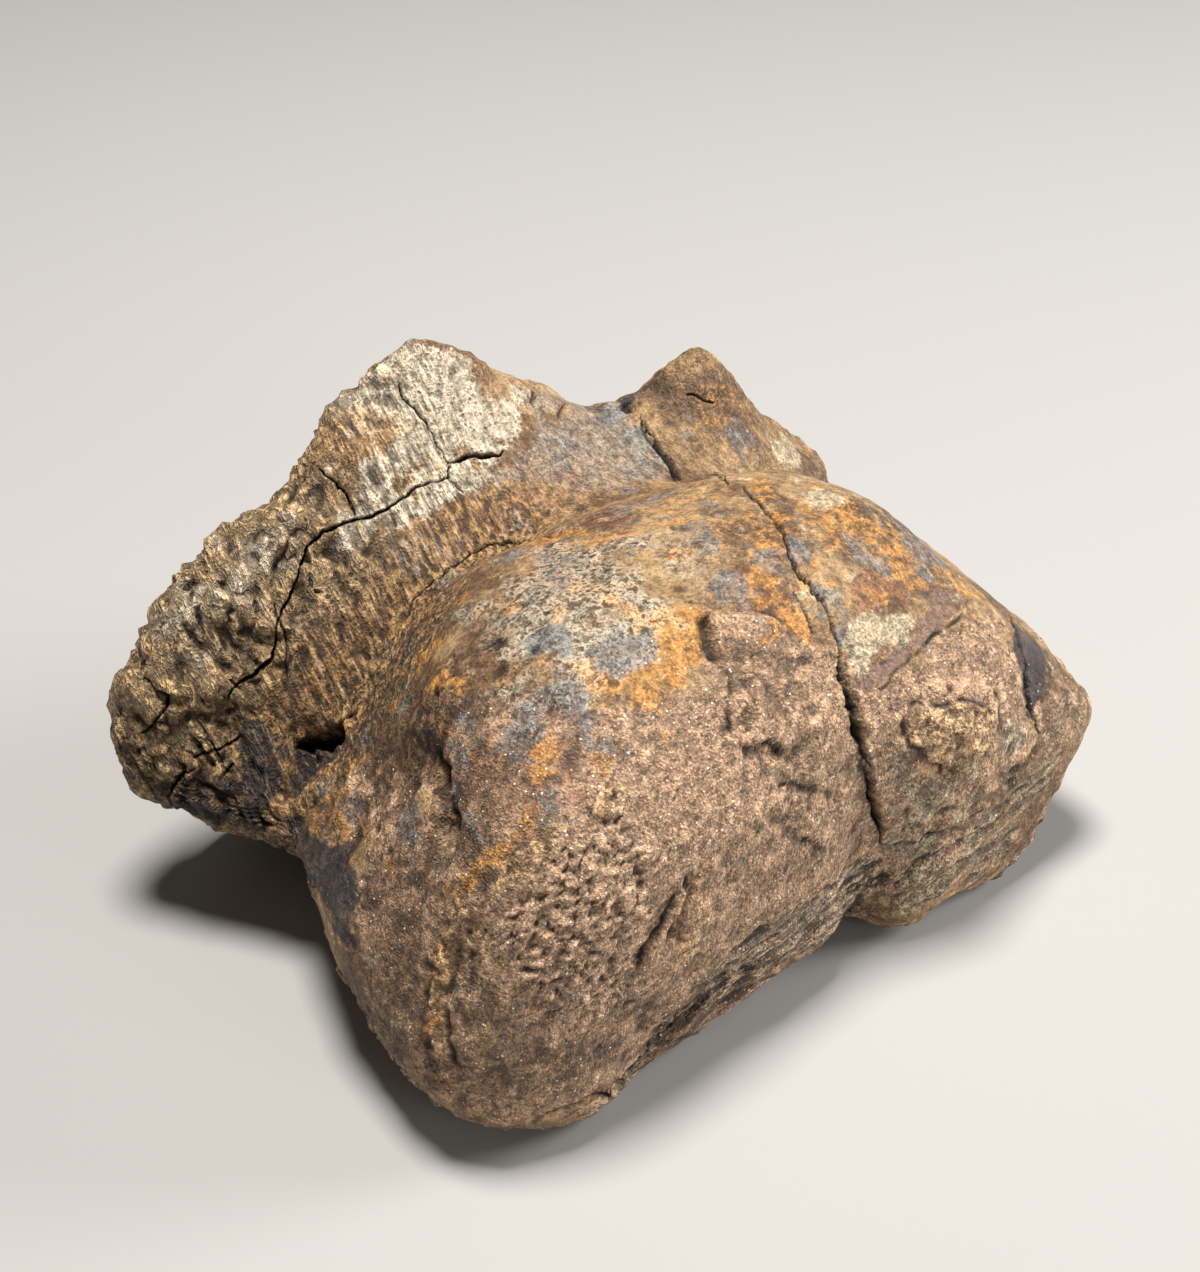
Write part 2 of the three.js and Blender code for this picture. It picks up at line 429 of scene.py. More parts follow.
@dataclass(frozen=True)
class ShapeLines:
    """The low and high lines of the bone, each from the left side's hollow to the right side's.

    Going from one line to the next leads once around the bone: underneath, up the rolling front
    end, over the top, down into the waist, up the flange to its rim and down the joint face.
    """

    left_end: Point = (-42, 10, 17)
    right_end: Point = (49, 7, 15)
    heel: tuple[Point, ...] = (
        (-38, 17, 9), (-37, 23, 5), (-34, 29, 2), (-22, 32, -1), (0, 32, -1), (22, 31, -1),
        (38, 27, 2), (45, 21, 4), (48, 14, 8),
    )
    sole_middle: tuple[Point, ...] = (
        (-40, 11, 10), (-37, 8, 6), (-30, 5, 3), (-14, 8, 4), (4, 6, 5), (24, 6, 4), (42, 7, 5),
        (47, 9, 8),
    )
    sole_front: tuple[Point, ...] = (
        (-42, 4, 10), (-42, -8, 6), (-38, -18, 2), (-24, -23, -1), (-4, -23, 1), (10, -20, 3),
        (25, -23, -1), (38, -18, 3), (45, -8, 6), (47, 1, 8),
    )
    front_lower_edge: tuple[Point, ...] = (
        (-44, 1, 12), (-46, -8, 10), (-47, -17, 8), (-46, -27, 6), (-37, -32, 3), (-25, -31, 3),
        (-9, -31, 4), (4, -31, 6), (9, -28, 5), (14, -31, 2), (24, -32, 2), (33, -32, 2),
        (40, -30, 9), (46, -20, 10), (48, -6, 10),
    )
    front_low: tuple[Point, ...] = (
        (-45, 1, 16), (-47, -8, 15), (-48, -16, 14), (-48, -24, 14), (-44, -31, 17), (-35, -34, 19),
        (-14, -34, 16), (0, -33, 17), (9, -31, 17), (21, -34, 18), (36, -33, 17), (47, -31, 19),
        (49, -20, 16), (50, -5, 14),
    )
    front_high: tuple[Point, ...] = (
        (-44, 3, 19), (-46, -7, 20), (-47, -16, 20), (-45, -25, 25), (-41, -30, 30), (-32, -33, 33),
        (-17, -33, 35), (-2, -31, 35), (6, -30, 36), (14, -32, 32), (22, -33, 31), (38, -30, 27),
        (47, -25, 23), (49, -12, 19), (50, -1, 17),
    )
    roller_shoulder: tuple[Point, ...] = (
        (-43, 4, 20), (-44, -6, 24), (-44, -15, 27), (-43, -24, 33), (-37, -27, 39), (-28, -28, 42),
        (-12, -26, 44), (0, -25, 44), (7, -25, 43), (16, -27, 39), (25, -28, 36), (36, -26, 33),
        (46, -20, 26), (49, -8, 21), (50, 2, 18),
    )
    roller_brow: tuple[Point, ...] = (
        (-42, 5, 21), (-41, -3, 26), (-40, -11, 32), (-39, -16, 37), (-34, -19, 44), (-24, -21, 47),
        (-8, -18, 49), (8, -18, 48), (20, -19, 44), (30, -17, 41), (40, -16, 33), (45, -11, 28),
        (48, -3, 23), (49, 4, 20),
    )
    roller_top: tuple[Point, ...] = (
        (-41, 7, 22), (-38, 0, 28), (-36, -6, 34), (-33, -8, 44), (-26, -8, 48), (-15, -10, 50),
        (0, -8, 50), (14, -7, 49), (27, -8, 46), (36, -9, 38), (43, -5, 31), (47, 1, 25),
        (49, 5, 21),
    )
    roller_back: tuple[Point, ...] = (
        (-40, 9, 22), (-36, 6, 28), (-31, 4, 37), (-25, 5, 42), (-17, 8, 45), (-8, 8, 46),
        (4, 6, 47), (16, 4, 47), (28, 5, 43), (38, 4, 36), (44, 5, 29), (48, 7, 22),
    )
    waist: tuple[Point, ...] = (
        (-40, 11, 22), (-36, 13, 26), (-30, 14, 31), (-23, 16, 36), (-15, 16, 40), (-8, 16, 41),
        (2, 15, 43), (12, 15, 42), (24, 16, 38), (36, 15, 33), (44, 11, 27), (48, 9, 21),
    )
    flange_front: tuple[Point, ...] = (
        (-43, 14, 20), (-46, 20, 22), (-44, 22, 29), (-37, 22, 36), (-27, 22, 40), (-16, 24, 46),
        (-8, 26, 48), (3, 24, 46), (14, 24, 43), (24, 25, 41), (34, 24, 40), (42, 22, 34),
        (47, 18, 26), (49, 12, 20),
    )
    rim: tuple[Point, ...] = (
        (-45, 16, 18), (-49, 21, 18), (-53, 28, 20), (-52, 31, 30), (-49, 31, 35), (-45, 31, 40),
        (-41, 31, 43), (-35, 31, 46), (-27, 31, 48), (-23, 32, 52), (-20, 33, 54), (-13, 34, 58),
        (-6, 34, 60), (0, 34, 57), (6, 34, 52), (12, 33, 48), (17, 33, 44), (23, 31, 44),
        (29, 30, 46), (33, 29, 48), (39, 28, 43), (43, 28, 37), (48, 27, 32), (53, 25, 26),
        (54, 22, 20), (51, 14, 16),
    )
    behind_rim: tuple[Point, ...] = (
        (-43, 17, 15), (-48, 24, 14), (-50, 32, 18), (-48, 35, 25), (-43, 36, 32), (-35, 36, 39),
        (-24, 36, 45), (-15, 37, 54), (-7, 37, 56), (0, 37, 52), (7, 37, 46), (18, 36, 39),
        (25, 34, 40), (33, 33, 42), (42, 32, 34), (48, 31, 26), (53, 28, 18), (51, 15, 13),
    )
    joint_face: tuple[Point, ...] = (
        (-41, 17, 13), (-45, 26, 11), (-46, 34, 13), (-38, 34, 18), (-26, 33, 24), (-10, 32, 28),
        (10, 32, 25), (28, 32, 24), (40, 31, 20), (48, 30, 15), (51, 24, 11), (50, 15, 11),
    )
    joint_lower_edge: tuple[Point, ...] = (
        (-39, 17, 11), (-42, 26, 8), (-41, 34, 7), (-28, 35, 6), (0, 35, 6), (20, 34, 6),
        (34, 33, 7), (45, 30, 8), (49, 23, 8), (49, 15, 9),
    )
    steps_along: int = 215
    measuring_steps: int = 2000
    first_shown: int = 3
    last_shown: int = 11
    shown_steps: int = 24
    hidden_steps: int = 10
    end_zone: float = 0.14
    end_passes: int = 60
    end_settling: float = 0.9

    def lines(self) -> list[tuple[Point, ...]]:
        """Lists the lines.

        Returns:
            The lines in their order around the bone.
        """
        return [
            self.heel, self.sole_middle, self.sole_front, self.front_lower_edge,
            self.front_low, self.front_high, self.roller_shoulder, self.roller_brow,
            self.roller_top, self.roller_back, self.waist, self.flange_front,
            self.rim, self.behind_rim, self.joint_face, self.joint_lower_edge,
        ]

    def evenly(self, line: tuple[Point, ...]) -> Array:
        """Evenly spaced places along one line, its ends included.

        Args:
            line: Points of the line between the two ends.

        Returns:
            Places of shape (steps_along + 1, 3), equally far apart along the smooth curve.
        """
        points = np.array([self.left_end, *line, self.right_end], dtype=float)
        share = np.linspace(0.0, 1.0, self.measuring_steps + 1)
        path = curve_through(points, share, False)
        length = np.r_[0.0, np.cumsum(np.linalg.norm(np.diff(path, axis=0), axis=1))]
        wanted = np.linspace(0.0, length[-1], self.steps_along + 1)
        return curve_through(points, np.interp(wanted, length, share), False)

    def settle(self, grid: Array) -> Array:
        """Evens out the surface towards both ends, where the lines gather.

        Args:
            grid: Places of shape (around, along, 3).

        Returns:
            The evened grid: near an end each place moves towards the mean of its neighbours.
        """
        last = grid.shape[1] - 1
        from_end = np.minimum(np.arange(last + 1), last - np.arange(last + 1)) / last
        amount = self.end_settling * np.clip(1.0 - from_end / self.end_zone, 0.0, 1.0)
        amount[[0, -1]] = 0.0
        for _ in range(self.end_passes):
            mean = grid.copy()
            sideways = grid[:, :-2] + grid[:, 2:]
            around = np.roll(grid, 1, axis=0) + np.roll(grid, -1, axis=0)
            mean[:, 1:-1] = (sideways + around[:, 1:-1]) / 4.0
            grid = grid + amount[None, :, None] * (mean - grid)
            grid[:, 0] = grid[:, 1].mean(axis=0)
            grid[:, -1] = grid[:, -2].mean(axis=0)
        return grid

    def skin(self) -> Skin:
        """Lays one closed surface through the lines, with finer steps where the photograph looks.

        Returns:
            The smooth bone in its own frame, with each end gathered in one point.
        """
        lines = self.lines()
        steps = [self.shown_steps if self.first_shown <= number <= self.last_shown
                 else self.hidden_steps for number in range(len(lines))]
        place = np.concatenate([number + np.arange(count) / count
                                for number, count in enumerate(steps)])
        rungs = np.stack([self.evenly(line) for line in lines])
        grid = self.settle(curve_through(rungs, place / len(lines), True))
        grid[..., 2] = np.maximum(grid[..., 2], 0.0)
        rows, columns = grid.shape[:2]
        inner = columns - 2
        turn = 2 * math.pi * np.repeat(place / len(lines), inner)
        share = np.tile(np.arange(1, columns - 1) / (columns - 1), rows)
        points = np.concatenate([grid[:, 1:-1].reshape(-1, 3), grid[:1, 0], grid[:1, -1]])
        places = np.stack([np.cos(turn), np.sin(turn), share], axis=1)
        places = np.concatenate([places, [[1.0, 0.0, 0.0], [1.0, 0.0, 1.0]]])
        index = np.arange(rows * inner).reshape(rows, inner)
        below = np.roll(index, -1, axis=0)
        left_pole, right_pole = rows * inner, rows * inner + 1
        a, b, c, d = index[:, :-1], index[:, 1:], below[:, 1:], below[:, :-1]
        caps = (
            np.stack([np.full(rows, left_pole), index[:, 0], below[:, 0]], axis=1),
            np.stack([np.full(rows, right_pole), below[:, -1], index[:, -1]], axis=1),
        )
        sheets = [np.stack(trio, axis=-1).reshape(-1, 3) for trio in ((a, b, c), (a, c, d))]
        triangles = np.concatenate([*sheets, *caps])
        corners = points[triangles]
        volume = np.einsum("ij,ij->i", corners[:, 0], np.cross(corners[:, 1], corners[:, 2])).sum()
        if volume < 0:
            triangles = triangles[:, ::-1]
        return Skin(points - np.array(MIDDLE), triangles, places)


class MarkKind(Enum):
    """What a drawn line does to the surface."""

    CRACK = "crack"
    GROOVE = "groove"
    RIDGE = "ridge"
    EDGE = "edge"


@dataclass(frozen=True)
class Mark:
    """One line on the bone, drawn through photograph pixels.

    An edge is raised on its right-hand side, as seen going along the path in the photograph.
    """

    name: str
    kind: MarkKind
    width: float
    depth: float
    path: tuple[Pixel, ...]
    swell: tuple[float, ...] = ()
    reach: float = 4.0


@dataclass(frozen=True)
class Nearness:
    """Points close to a line: their numbers, and how each lies to the line."""

    rows: Array
    distance: Array
    half: Array
    side: Array
    share: Array


@dataclass(frozen=True)
class Trace:
    """A mark laid onto the surface, with its half width at each of its points."""

    mark: Mark
    line: Array
    half: Array

    def measure(self, points: Array, normals: Array, reach: float) -> Nearness:
        """Finds the points near the line and how they lie to it.

        Args:
            points: Places in millimetres.
            normals: Outward directions.
            reach: Greatest distance that counts.

        Returns:
            The points within reach, with their distance to the nearest stretch of the line, the
            half width there, the side (1 right, -1 left) and the share of the way along.
        """
        low, high = self.line.min(axis=0) - reach, self.line.max(axis=0) + reach
        inside = np.flatnonzero(((points > low) & (points < high)).all(axis=1))
        start, step = self.line[:-1], np.diff(self.line, axis=0)
        length = np.maximum((step ** 2).sum(axis=1), 1e-9)
        offset = points[inside][:, None, :] - start[None]
        share = np.clip(np.einsum("ijk,jk->ij", offset, step) / length, 0.0, 1.0)
        gap = np.linalg.norm(offset - share[..., None] * step, axis=2)
        best = gap.argmin(axis=1)
        rows = np.arange(len(inside))
        distance = gap[rows, best]
        half = self.half[best] + (self.half[best + 1] - self.half[best]) * share[rows, best]
        across = np.cross(step[best], normals[inside])
        side = np.sign(np.einsum("ij,ij->i", across, offset[rows, best]))
        kept = distance < reach
        way = (best + share[rows, best]) / len(step)
        return Nearness(inside[kept], distance[kept], half[kept], side[kept], way[kept])


@dataclass
class Chart:
    """Lays photograph pixels onto the smooth bone. The lengths are in pixels."""

    skin: Skin
    grain: Grain
    step: float = 2.5
    wander: float = 2.34
    wander_size: float = 14.0
    uneven_share: float = 0.45
    uneven_size: float = 11.0
    taper_length: float = 8.0
    end_share: float = 0.45
    tree: BVHTree = field(init=False)

    def __post_init__(self) -> None:
        """Readies the surface for rays."""
        self.tree = BVHTree.FromPolygons(self.skin.points.tolist(), self.skin.triangles.tolist())

    def place(self, pixel: Array) -> Array:
        """Where the line of sight through one pixel meets the bone, or passes closest to it.

        Args:
            pixel: Photograph pixel.

        Returns:
            The place in millimetres.
        """
        ray = VIEW.ray(pixel)
        hit = self.tree.ray_cast(Vector(VIEW.position), Vector(ray))[0]
        if hit is None:
            offset = self.skin.points - np.array(VIEW.position)
            depth = offset @ ray
            miss = np.linalg.norm(offset - np.outer(depth, ray), axis=1)
            return self.skin.points[miss.argmin()]
        return np.array(hit)

    def trace(self, mark: Mark) -> Trace:
        """Lays one mark onto the surface with a slight natural wander and uneven width.

        Args:
            mark: The mark to lay.

        Returns:
            Its line on the surface, in steps of a few pixels.
        """
        path = np.array(mark.path, dtype=float)
        swell = np.array(mark.swell or (1.0,) * len(path))
        length = np.r_[0.0, np.cumsum(np.linalg.norm(np.diff(path, axis=0), axis=1))]
        count = max(int(length[-1] / self.step), 2)
        at = np.linspace(0.0, length[-1], count + 1)
        pixels = np.stack([np.interp(at, length, path[:, axis]) for axis in range(2)], axis=1)
        wave = np.stack([at, np.full(len(at), path[0, 0]), np.full(len(at), path[0, 1])], axis=1)
        pixels = pixels + self.wander * self.grain.bend(wave, (0.0, 91.0), self.wander_size, 2)
        uneven = 1.0 + self.uneven_share * self.grain.layered(wave + 47.0, self.uneven_size, 2)
        from_end = np.minimum(at, length[-1] - at)
        taper = np.clip(from_end / self.taper_length + self.end_share, 0.0, 1.0)
        half = mark.width / 2 * np.interp(at, length, swell) * np.clip(uneven, 0.5, 1.6) * taper
        return Trace(mark, np.array([self.place(pixel) for pixel in pixels]), half)


class Deposit(Enum):
    """What covers or stains the bone. The value is the name of the mesh attribute."""

    CRUST = "crust"
    PALE = "pale_bone"
    LAVENDER = "grey_polish"
    OCHRE = "ochre"
    RUST = "rust"
    BLUE = "blue_grey"
    BLACK = "blue_black"
    YELLOW = "yellow_crust"
    CREAM = "cream"
    MAUVE = "mauve_band"
    WORM = "white_worm"
    FIBRE = "fibre"
    FOLD = "fold"
    LAMINA = "lamina"
    ROUGH = "rough"
    UMBER = "umber"
    WART = "wart"
    # Not a deposit: painted shade in cracks and painted shadow along the feet of ledges.
    CRACK = "crack"


@dataclass(frozen=True)
class Patch:
    """An area of one deposit, outlined by photograph pixels."""

    name: str
    deposit: Deposit
    amount: float
    soft: float
    outline: tuple[Pixel, ...]

    def inside(self, pixels: Array, ragged: Array) -> Array:
        """How far inside the outline each pixel lies, from 0 to the patch's amount.

        Args:
            pixels: Pixels of the surface's points.
            ragged: Noise from -1 to 1 that frays the outline.

        Returns:
            The amount, eased over the soft width at the outline. The side of the outline is told
            by how many of its stretches a level ray crosses.
        """
        corners = np.array(self.outline, dtype=float)
        margin = 2.0 * self.soft
        low, high = corners.min(axis=0) - margin, corners.max(axis=0) + margin
        rows = np.flatnonzero(((pixels > low) & (pixels < high)).all(axis=1))
        start, step = corners, np.roll(corners, -1, axis=0) - corners
        offset = pixels[rows][:, None, :] - start[None]
        share = np.clip((offset * step).sum(axis=2) / (step ** 2).sum(axis=1), 0.0, 1.0)
        gap = np.linalg.norm(offset - share[..., None] * step, axis=2).min(axis=1)
        x, y = pixels[rows, 0][:, None], pixels[rows, 1][:, None]
        x0, y0, x1, y1 = start[:, 0], start[:, 1], (start + step)[:, 0], (start + step)[:, 1]
        rise = np.where(y1 == y0, 1e-9, y1 - y0)
        crosses = ((y0 > y) != (y1 > y)) & (x < (x1 - x0) * (y - y0) / rise + x0)
        signed = np.where(crosses.sum(axis=1) % 2 == 1, gap, -gap)
        result = np.zeros(len(pixels))
        frayed = signed + ragged[rows] * self.soft * 0.9
        result[rows] = self.amount * smoothstep(-self.soft / 2, self.soft / 2, frayed)
        return result


# Cracks that show in the photograph: name, width and depth in millimetres, path in pixels, swell
CRACKS = tuple(Mark(name, MarkKind.CRACK, *rest) for name, *rest in (
    ("slot in the flange", 0.56, 1.7,
     ((503, 452), (499, 456), (483, 455), (467, 457), (458, 460), (448, 463)),
     (0.4, 1.0, 1.3, 1.2, 0.6, 0.4)),
    ("crack up from the slot", 0.25, 0.9,
     ((448, 463), (444, 452), (438, 446), (432, 430), (425, 420), (416, 408), (408, 401), (401, 384))),
    ("hairline below the slot", 0.19, 0.5, ((449, 466), (450, 477), (463, 492))),
    ("long crack of the flange", 0.34, 1.6,
     ((449, 477), (430, 483), (415, 488), (393, 505), (382, 512), (362, 518), (345, 522),
      (321, 533), (306, 549), (301, 564), (292, 590), (286, 603), (281, 614), (277, 627),
      (274, 657), (262, 668), (253, 675), (241, 682), (232, 690), (227, 699)),
     (0.5, 0.6, 0.7, 0.8, 0.9, 1.4, 1.0, 1.6, 1.2, 0.8, 0.9, 0.9, 0.6, 0.6,
      1.0, 1.8, 1.6, 1.2, 0.9, 0.5)),
    ("branch towards the rim", 0.25, 1.0,
     ((319, 471), (330, 479), (345, 490), (352, 502), (356, 514))),
    ("hairline beside the knobs", 0.19, 0.6,
     ((274, 604), (276, 618), (283, 630), (288, 646), (284, 662), (286, 674))),
    ("crack along the waist", 0.28, 1.1,
     ((620, 509), (600, 519), (575, 528), (556, 533), (526, 540), (512, 542), (501, 542),
      (488, 545), (478, 549), (460, 560), (441, 575), (425, 590), (412, 601), (404, 623),
      (395, 637), (386, 651), (375, 670), (364, 684), (357, 696), (350, 708)),
     (0.4, 0.7, 0.8, 0.9, 1.3, 2.0, 1.6, 1.2, 0.9, 0.8, 0.8, 0.8, 0.9, 0.9,
      0.9, 0.9, 1.0, 1.0, 1.4, 1.8)),
    ("crack of the far knob", 0.85, 2.0,
     ((640, 418), (649, 436), (656, 446), (662, 453), (668, 460), (672, 467), (680, 480)),
     (0.6, 0.7, 0.9, 0.8, 1.3, 0.9, 1.3)),
    ("hairline of the far knob", 0.26, 0.7,
     ((686, 395), (698, 398), (706, 402), (713, 404))),
    ("start of the long front crack", 0.55, 1.4,
     ((706, 477), (715, 475), (723, 478), (728, 484)), (0.5, 1.0, 1.4, 0.8)),
    ("long crack down the front", 0.56, 1.9,
     ((742, 486), (753, 498), (766, 508), (775, 516), (780, 524), (784, 533), (785, 543),
      (792, 561), (800, 578), (813, 588), (819, 596), (826, 607), (830, 617), (834, 632),
      (837, 645), (840, 665), (846, 690), (852, 710), (859, 740), (864, 756), (868, 785),
      (870, 800), (874, 815), (881, 828), (881, 845)),
     (0.7, 0.8, 0.9, 0.9, 1.6, 1.1, 0.9, 0.9, 1.0, 1.0, 1.1, 1.0, 0.8, 0.7,
      0.8, 1.2, 2.3, 2.1, 1.2, 0.5, 0.7, 0.9, 0.9, 0.8, 0.6)),
    ("short crack beside it", 0.31, 0.8,
     ((793, 594), (801, 607), (808, 618), (813, 632)), (0.5, 1.0, 1.2, 0.5)),
    ("split at the right corner", 0.62, 2.0,
     ((1011, 618), (1015, 630), (1019, 643), (1024, 657), (1028, 670), (1031, 690), (1036, 712),
      (1041, 733)),
     (0.7, 1.6, 1.2, 1.3, 1.9, 2.0, 1.5, 0.5)),
    ("crack of the left knob", 0.31, 1.0,
     ((144, 678), (157, 686), (170, 694), (167, 705), (155, 720), (143, 732)),
     (0.5, 0.6, 1.5, 1.3, 0.9, 0.5)),
    ("short crack below it", 0.22, 0.8,
     ((238, 739), (228, 746), (222, 747), (209, 753), (196, 755))),
    ("lowest crack of the left knob", 0.37, 1.0,
     ((198, 766), (186, 771), (180, 777), (175, 785), (166, 800)), (0.5, 0.8, 1.5, 1.1, 0.4)),
    ("hairline towards the dark side", 0.19, 0.6,
     ((234, 764), (226, 772), (222, 780))),
    ("slot of the waist hollow", 0.9, 2.2,
     ((291, 747), (304, 742), (318, 738), (332, 731), (344, 721), (355, 710)),
     (0.5, 1.5, 2.0, 1.7, 1.2, 0.6)),
    ("gap above the lower flake", 0.50, 1.4,
     ((546, 1113), (560, 1107), (574, 1100), (590, 1091), (603, 1088)), (0.5, 0.9, 1.2, 1.5, 0.8)),
    ("gap along the lower margin", 0.37, 1.2,
     ((604, 1086), (620, 1073), (642, 1050), (668, 1022), (690, 1001), (712, 985)),
     (0.8, 0.6, 0.9, 0.6, 0.9, 0.5)),
))

# Ledges, grooves and ridges that show in it, with their kind after the name
LEDGES = (
    Mark("side of the far knob", MarkKind.EDGE, 0.5, 0.55,
         ((681, 484), (672, 468), (661, 454), (650, 440), (640, 421)), reach=5.0),
    Mark("left notch of the rim", MarkKind.GROOVE, 1.0, 1.0, ((539, 388), (537, 395), (532, 406))),
    Mark("right notch of the rim", MarkKind.GROOVE, 0.9, 0.8, ((568, 400), (564, 406), (556, 418))),
    Mark("left edge of the plate", MarkKind.EDGE, 0.44, 1.0,
         ((716, 664), (712, 650), (708, 636), (707, 622), (706, 612)), reach=9.0),
    Mark("top edge of the plate", MarkKind.EDGE, 0.66, 0.37,
         ((680, 601), (696, 605), (711, 609), (733, 613), (757, 614), (786, 626)), reach=8.0),
    Mark("fine edge down the plate", MarkKind.EDGE, 0.55, 0.25,
         ((733, 742), (728, 729), (727, 714), (729, 690), (727, 672)), reach=7.0),
    Mark("arched ledge", MarkKind.EDGE, 0.44, 0.68,
         ((782, 758), (777, 748), (768, 741), (761, 739), (752, 745), (745, 747), (733, 741)), reach=6.0),
    Mark("ledge below the arch", MarkKind.EDGE, 0.55, 0.36,
         ((836, 792), (820, 789), (804, 784), (788, 781), (779, 784)), reach=5.0),
    Mark("edge of the small pit", MarkKind.EDGE, 0.44, 0.40,
         ((826, 846), (814, 842), (805, 838), (797, 842)), reach=3.0),
    Mark("plate above the crack's right side", MarkKind.EDGE, 0.88, 0.87,
         ((881, 845), (881, 828), (868, 785), (859, 740), (852, 710), (845, 688), (838, 655)), reach=9.0),
    Mark("edge of the smooth band", MarkKind.EDGE, 0.50, 0.43,
         ((966, 610), (951, 622), (935, 633), (911, 655), (887, 680), (866, 696)), reach=7.0),
    Mark("left edge of the yellow flake", MarkKind.EDGE, 0.44, 0.62,
         ((952, 779), (944, 773), (936, 760), (927, 756), (917, 747), (908, 740), (903, 725), (902, 712)),
         reach=5.0),
    Mark("top edge of the yellow flake", MarkKind.EDGE, 0.44, 0.43,
         ((902, 712), (914, 704), (930, 708), (944, 706), (957, 702), (975, 708), (988, 703)), reach=5.0),
    Mark("edge of the leaf", MarkKind.EDGE, 0.66, 0.99,
         ((636, 970), (647, 952), (660, 930), (672, 908), (684, 884)), reach=4.0),
    Mark("lip of the waist hollow", MarkKind.EDGE, 0.88, 1.12,
         ((294, 744), (304, 741), (318, 740), (330, 738), (344, 726), (355, 712)), reach=5.0),
    Mark("side of the lower skin", MarkKind.EDGE, 0.55, 0.50,
         ((604, 1092), (650, 1046), (700, 1000), (740, 975), (778, 958)), reach=4.0),
    Mark("line down the left side", MarkKind.RIDGE, 0.7, 0.45,
         ((459, 905), (452, 924), (446, 944), (438, 974), (431, 1003), (433, 1032), (438, 1060),
          (445, 1086))),
    Mark("groove beside that line", MarkKind.GROOVE, 1.1, 0.5,
         ((468, 918), (459, 944), (452, 974), (446, 1003), (447, 1040), (452, 1080))),
    Mark("upper pit beside the waist", MarkKind.GROOVE, 1.5, 1.7,
         ((431, 690), (434, 704), (430, 716), (433, 728)), (0.7, 1.2, 1.0, 0.6)),
    Mark("middle pit beside the waist", MarkKind.GROOVE, 1.6, 1.9,
         ((438, 752), (434, 766), (440, 778), (437, 790)), (0.6, 1.2, 1.3, 0.6)),
    Mark("lower pit beside the waist", MarkKind.GROOVE, 1.9, 2.2,
         ((441, 800), (446, 815), (441, 830), (448, 842)), (0.7, 1.3, 1.3, 0.6)),
    Mark("groove through the pits", MarkKind.GROOVE, 2.0, 0.8,
         ((424, 728), (427, 742), (430, 759), (434, 780), (438, 800), (441, 820), (440, 838), (446, 852)),
         (0.4, 0.9, 0.7, 1.2, 0.8, 1.5, 1.4, 0.5)),
    Mark("hollow under the waist", MarkKind.GROOVE, 3.0, 1.8,
         ((350, 722), (336, 738), (318, 750), (304, 764), (292, 778), (283, 796), (280, 808)),
         (0.7, 1.0, 1.2, 1.2, 1.0, 0.8, 0.6)),
    Mark("dark valley beside the leaf", MarkKind.GROOVE, 1.7, 1.5,
         ((691, 872), (689, 893), (683, 912), (675, 930), (663, 950))),
    Mark("notch beside the plate", MarkKind.GROOVE, 1.4, 0.75,
         ((701, 616), (703, 634), (708, 652), (715, 666))),
    Mark("edge of the lower right facet", MarkKind.EDGE, 1.2, 0.55,
         ((1041, 737), (1018, 770), (991, 803), (955, 824), (918, 838), (880, 847)), reach=6.0),
    Mark("upper streak of the right facet", MarkKind.GROOVE, 1.3, 0.55,
         ((1046, 744), (1016, 778), (982, 802), (946, 818))),
    Mark("lower streak of the right facet", MarkKind.GROOVE, 1.1, 0.5,
         ((1034, 792), (996, 824), (950, 848), (910, 862))),
    Mark("groove between knobs", MarkKind.GROOVE, 1.4, 1.0,
         ((226, 700), (229, 720), (238, 742), (250, 766), (268, 792))),
    Mark("crease below the knobs", MarkKind.GROOVE, 1.2, 0.8,
         ((300, 520), (292, 540), (276, 566), (270, 590))),
    Mark("vein beside the ledge", MarkKind.RIDGE, 0.8, 0.35,
         ((779, 785), (790, 795), (800, 803), (804, 815), (812, 826), (816, 839))),
    Mark("dark chip of the far knob", MarkKind.GROOVE, 2.0, 1.2, ((622, 398), (628, 404), (632, 414))),
)
